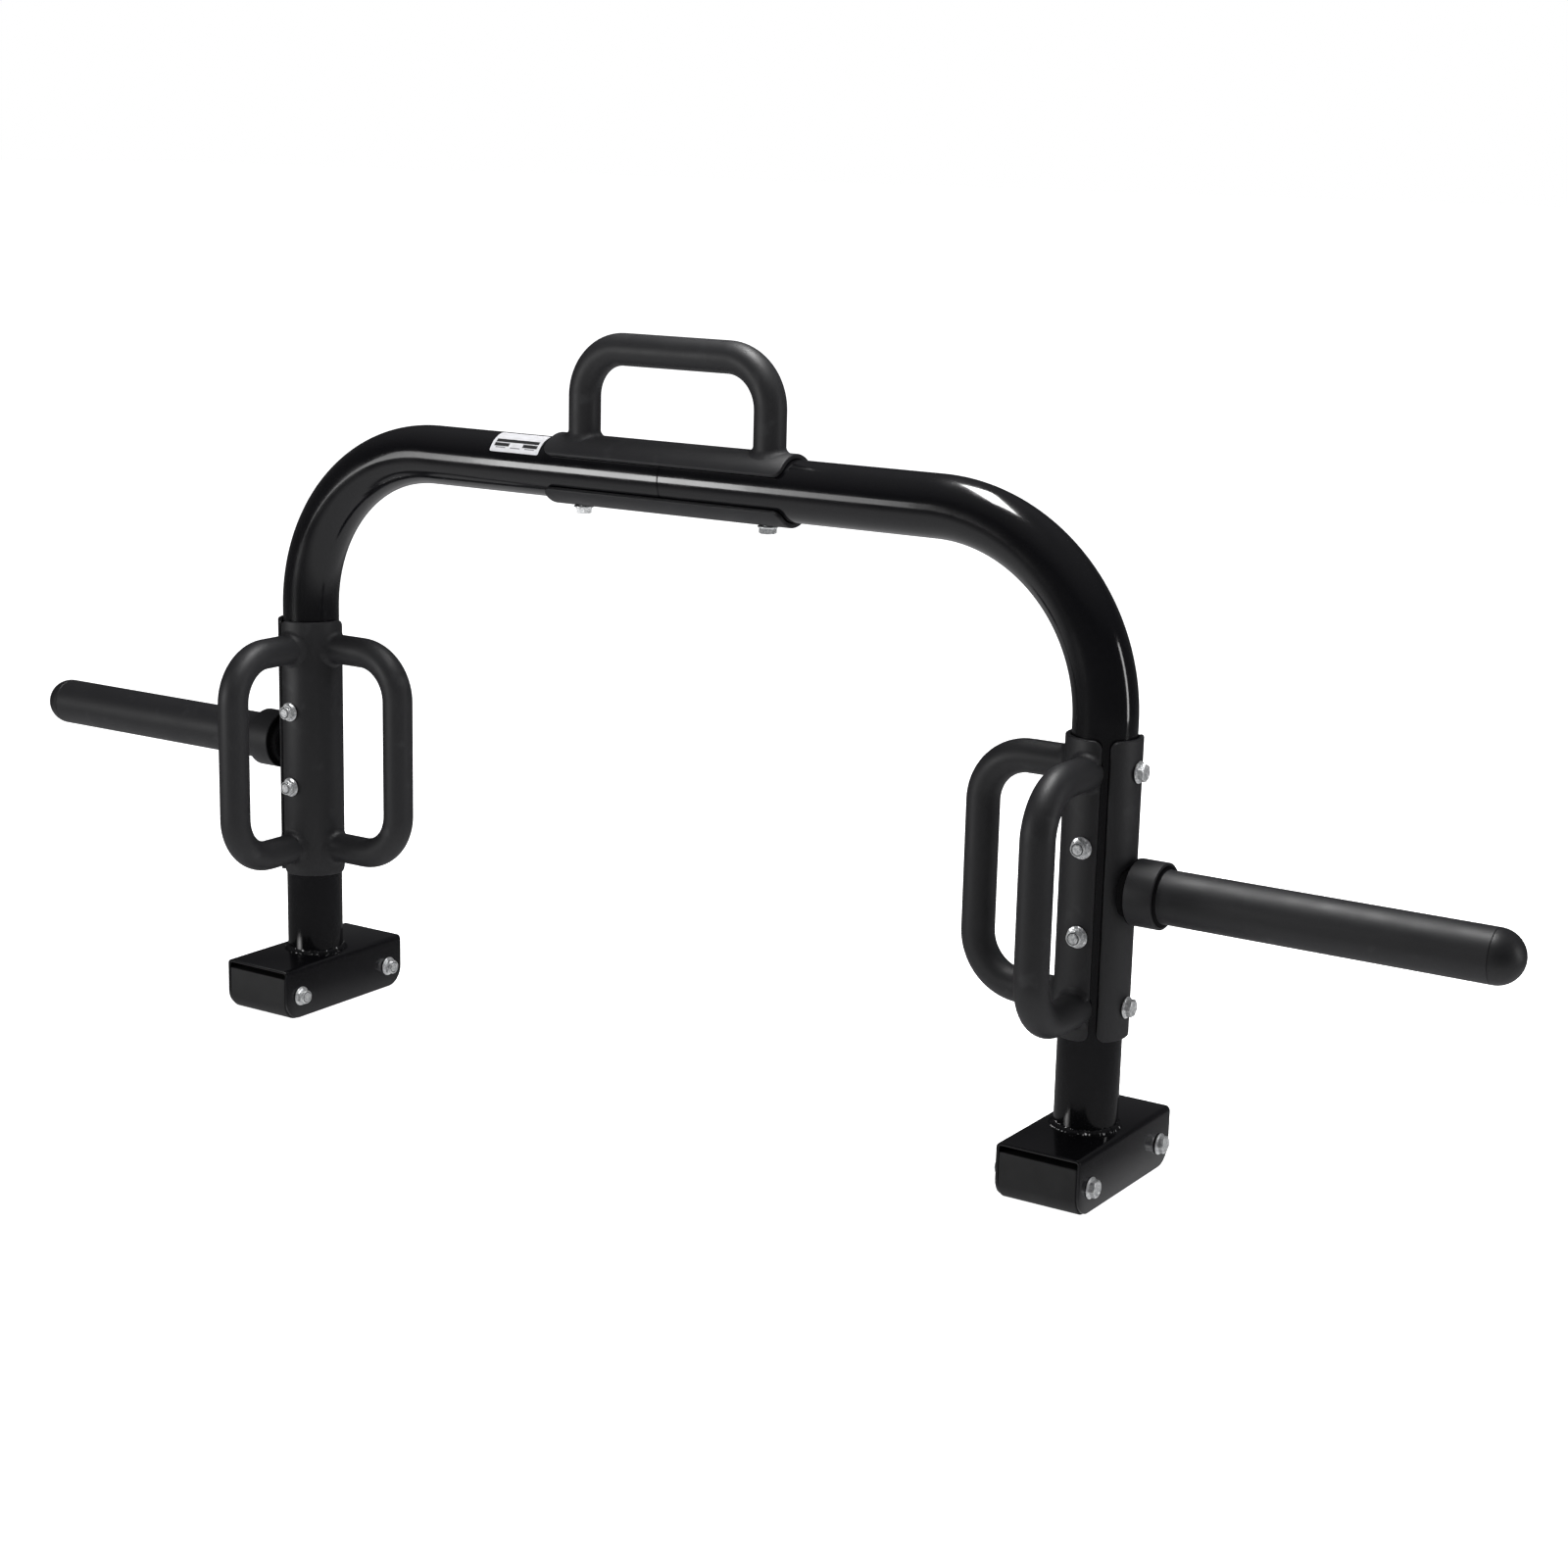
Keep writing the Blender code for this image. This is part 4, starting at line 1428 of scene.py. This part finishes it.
@dataclass(frozen=True)
class Feet:
    """The folded channel under each leg and the block in it."""

    layout: Layout
    wall: float = 0.003
    fold_radius: float = 0.002
    fold_steps: int = 6
    corner_radius: float = 0.020
    rim_radius: float = 0.0006
    block_end_round: float = 0.018
    block_end_steps: int = 14
    block_ease: float = 0.0012
    block_ease_steps: int = 3
    block_ease_angle: float = math.radians(40)

    def build(self) -> None:
        """Adds the channel and the block of both feet."""
        for side in Side:
            self.add_bracket(side)
            self.add_block(side)

    def add_bracket(self, side: Side) -> None:
        """Adds one folded channel.

        Args:
            side: The leg that stands on it.
        """
        name = side.named("foot_bracket")
        low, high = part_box(name)
        size = high - low
        top_half = size.x / 2 - self.fold_radius - self.wall
        neutral = (self.fold_radius + self.wall / 2) * QUARTER_TURN
        drop = size.z - self.fold_radius - self.wall
        width = 2 * (top_half + neutral + drop)
        blank = SheetBlank(size.y, width, self.wall, self.corner_radius, self.rim_radius)
        channel = blank.folded(top_half, self.fold_radius, self.fold_steps)
        middle = (low + high) / 2
        origin = Vector((middle.x, middle.y, high.z - self.wall))
        place = seat(Y_AXIS, Z_AXIS, origin)
        add_piece(name + "_finished", moved(channel, place), GLOSS_ENAMEL, name)

    def add_block(self, side: Side) -> None:
        """Adds one block, rounded at its lower ends and eased along its other edges.

        Args:
            side: The leg that stands over it.
        """
        name = side.named("foot_block")
        low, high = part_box(name)
        bm = bmesh.new()
        bmesh.ops.create_cube(bm, size=1)
        bmesh.ops.scale(bm, vec=high - low, verts=bm.verts)
        lower_ends = [
            edge
            for edge in bm.edges
            if all(vert.co.z < 0 for vert in edge.verts)
            and abs(edge.verts[0].co.y - edge.verts[1].co.y) < MERGE_DISTANCE
        ]
        bevelled(bm, lower_ends, self.block_end_round, self.block_end_steps)
        bmesh.ops.translate(bm, vec=(low + high) / 2, verts=bm.verts)
        block = add_piece(name + "_finished", bm, FOOT_RUBBER, name)
        ease = block.modifiers.new("eased edges", "BEVEL")
        ease.width = self.block_ease
        ease.segments = self.block_ease_steps
        ease.limit_method = "ANGLE"
        ease.angle_limit = self.block_ease_angle


@dataclass(frozen=True)
class HiddenPieces:
    """The solids inside the tubes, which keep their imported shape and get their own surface."""

    def build(self) -> None:
        """Dresses the splice sleeve and the threaded plugs."""
        for name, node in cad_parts.items():
            if name != "splice_sleeve" and not name.endswith("_insert"):
                continue
            finish = BARE_STEEL if name == "splice_sleeve" else ZINC
            node.data.materials.clear()
            node.data.materials.append(finish.material())
            log.info("%s: packed solid, %s", name, finish.name)


@dataclass(frozen=True)
class BoltedJoints:
    """Every bolt and nut, each where its solid stands."""

    fasteners: Fasteners = Fasteners()

    def build(self) -> None:
        """Adds the saddle bolts, and each leg's clamp, cross and foot bolts with their nuts."""
        kit = self.fasteners
        for side in Side:
            kit.add_bolt(side.named("saddle_bolt"), -Z_AXIS)
            for level in Level:
                kit.add_bolt(side.named(level.named("clamp_bolt")), side.outward)
                kit.add_bolt(side.named(level.named("cross_bolt")), -FRONT)
                kit.add_nut(side.named(level.named("cross_nut")), FRONT)
            for end in ("front", "rear"):
                kit.add_bolt(side.named(end + "_foot_bolt"), side.outward)
                kit.add_nut(side.named(end + "_foot_nut"), -side.outward)


# Studio


@dataclass(frozen=True)
class SoftLight:
    """One area light."""

    name: str
    place: Vector
    target: Vector
    size: tuple[float, float]
    power: float
    seen_in_gloss: bool = True

    def build(self) -> None:
        """Adds the light, aimed at its target."""
        light = bpy.data.lights.new(self.name, "AREA")
        light.shape = "RECTANGLE"
        light.size, light.size_y = self.size
        light.energy = self.power
        lamp = bpy.data.objects.new(self.name, light)
        lamp.location = self.place
        lamp.rotation_mode = "QUATERNION"
        lamp.rotation_quaternion = (self.target - self.place).to_track_quat("-Z", "Y")
        lamp.visible_glossy = self.seen_in_gloss
        lamp.visible_camera = False
        bpy.context.scene.collection.objects.link(lamp)


@dataclass(frozen=True)
class Studio:
    """The floor, the surroundings, the lights and the camera."""

    layout: Layout
    camera_place: Vector = Vector((1.5664, -2.19815, 0.9354))
    azimuth: float = math.radians(32.8)
    elevation: float = math.radians(12.9)
    roll: float = math.radians(1.4)
    lens_mm: float = 64.0
    aim_height: float = 0.35
    floor_size: float = 60.0
    lights: tuple[tuple[str, tuple, tuple, float, bool], ...] = (
        ("front left", (-1.82, -2.4, 0.6), (1.25, 0.9), 11.0, True),
        ("front left, its bright middle", (-1.8, -2.38, 0.6), (0.55, 0.85), 9.5, True),
        ("overhead", (0.15, 0.1, 2.1), (0.9, 0.36), 34.0, True),
        ("back top", (1.3, 1.4, 1.8), (1.6, 1.0), 34.0, False),
        ("right side", (2.85, 0.86, 0.7), (0.32, 1.36), 8.2, True),
    )
    fill: str = "949496"
    room: tuple[tuple[float, str], ...] = (
        (0.0, "b6b6b7"),
        (0.13, "626263"),
        (0.25, "424243"),
        (0.6, "39393b"),
        (0.9, "6c6c6e"),
    )

    def build(self) -> None:
        """Sets up everything round the object."""
        bpy.context.scene.view_settings.view_transform = "Standard"
        self.add_camera()
        self.add_floor()
        self.add_surroundings()
        middle = Vector((0, self.layout.plane_y, self.aim_height))
        for name, place, size, power, in_gloss in self.lights:
            light = SoftLight(name, Vector(place), middle, size, power, in_gloss)
            light.build()

    def add_camera(self) -> None:
        """Adds the camera."""
        turn, rise = self.azimuth, self.elevation
        right = Vector((math.cos(turn), math.sin(turn), 0))
        level_ahead = Vector((-math.sin(turn), math.cos(turn), 0))
        ahead = level_ahead * math.cos(rise) - Z_AXIS * math.sin(rise)
        up = right.cross(ahead)
        across = right * math.cos(self.roll) + up * math.sin(self.roll)
        upright = up * math.cos(self.roll) - right * math.sin(self.roll)
        data = bpy.data.cameras.new("camera")
        data.sensor_width = 36.0
        data.lens = self.lens_mm
        data.clip_end = 200.0
        camera = bpy.data.objects.new("camera", data)
        rotation = Matrix((across, upright, -ahead)).transposed().to_4x4()
        camera.matrix_world = Matrix.Translation(self.camera_place) @ rotation
        bpy.context.scene.collection.objects.link(camera)
        bpy.context.scene.camera = camera

    def add_floor(self) -> None:
        """Adds the plain pale floor."""
        bm = bmesh.new()
        bmesh.ops.create_grid(bm, x_segments=1, y_segments=1, size=self.floor_size)
        mesh = bpy.data.meshes.new("floor")
        bm.to_mesh(mesh)
        bm.free()
        paper = bpy.data.materials.new("white background paper, matt")
        paper.use_nodes = True
        shader = paper.node_tree.nodes["Principled BSDF"]
        shader.inputs["Base Color"].default_value = linear("f4f4f4")
        shader.inputs["Roughness"].default_value = 0.9
        shader.inputs["Specular IOR Level"].default_value = 0.1
        shader.inputs["Emission Color"].default_value = linear("ffffff")
        shader.inputs["Emission Strength"].default_value = 1.0
        mesh.materials.append(paper)
        floor = bpy.data.objects.new("floor", mesh)
        floor.visible_glossy = False
        bpy.context.scene.collection.objects.link(floor)

    def add_surroundings(self) -> None:
        """Adds a white backdrop. Gloss sees a dim room over a pale floor, and matt an even fill."""
        world = bpy.data.worlds.new("studio")
        bpy.context.scene.world = world
        world.use_nodes = True
        tree = world.node_tree
        tree.nodes.clear()
        way = add_node(tree, "ShaderNodeTexCoord").outputs["Generated"]
        height = add_node(tree, "ShaderNodeSeparateXYZ", links={"Vector": way}).outputs["Z"]
        heights = dict(zip(RANGE_INPUTS, (-0.5, 1.0)))
        share = add_node(tree, "ShaderNodeMapRange", values=heights, links={"Value": height})
        links = {"Fac": share.outputs["Result"]}
        ramp = add_node(tree, "ShaderNodeValToRGB", links=links, stops=self.room)
        gloss = add_node(tree, "ShaderNodeBackground", links={"Color": ramp.outputs["Color"]})
        fill = add_node(tree, "ShaderNodeBackground", values={"Color": linear(self.fill)})
        white = add_node(tree, "ShaderNodeBackground", values={"Color": linear("ffffff")})
        rays = add_node(tree, "ShaderNodeLightPath")
        seen = gloss
        for ray, other in (("Is Diffuse Ray", fill), ("Is Camera Ray", white)):
            links = {0: rays.outputs[ray], 1: seen.outputs[0], 2: other.outputs[0]}
            seen = add_node(tree, "ShaderNodeMixShader", links=links)
        add_node(tree, "ShaderNodeOutputWorld", links={"Surface": seen.outputs[0]})


def main() -> None:
    """Builds the carry arch and its studio."""
    logging.basicConfig(level=logging.INFO, format="%(name)s: %(message)s")
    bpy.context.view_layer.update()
    layout = Layout.from_solids()
    for part in (
        ArchTubes(layout),
        ClampPlates(layout),
        GripHandles(layout),
        WeightHorns(layout),
        Feet(layout),
        BoltedJoints(),
        HiddenPieces(),
        Studio(layout),
    ):
        log.info("building %s", type(part).__name__)
        part.build()


if __name__ == "__main__":
    main()
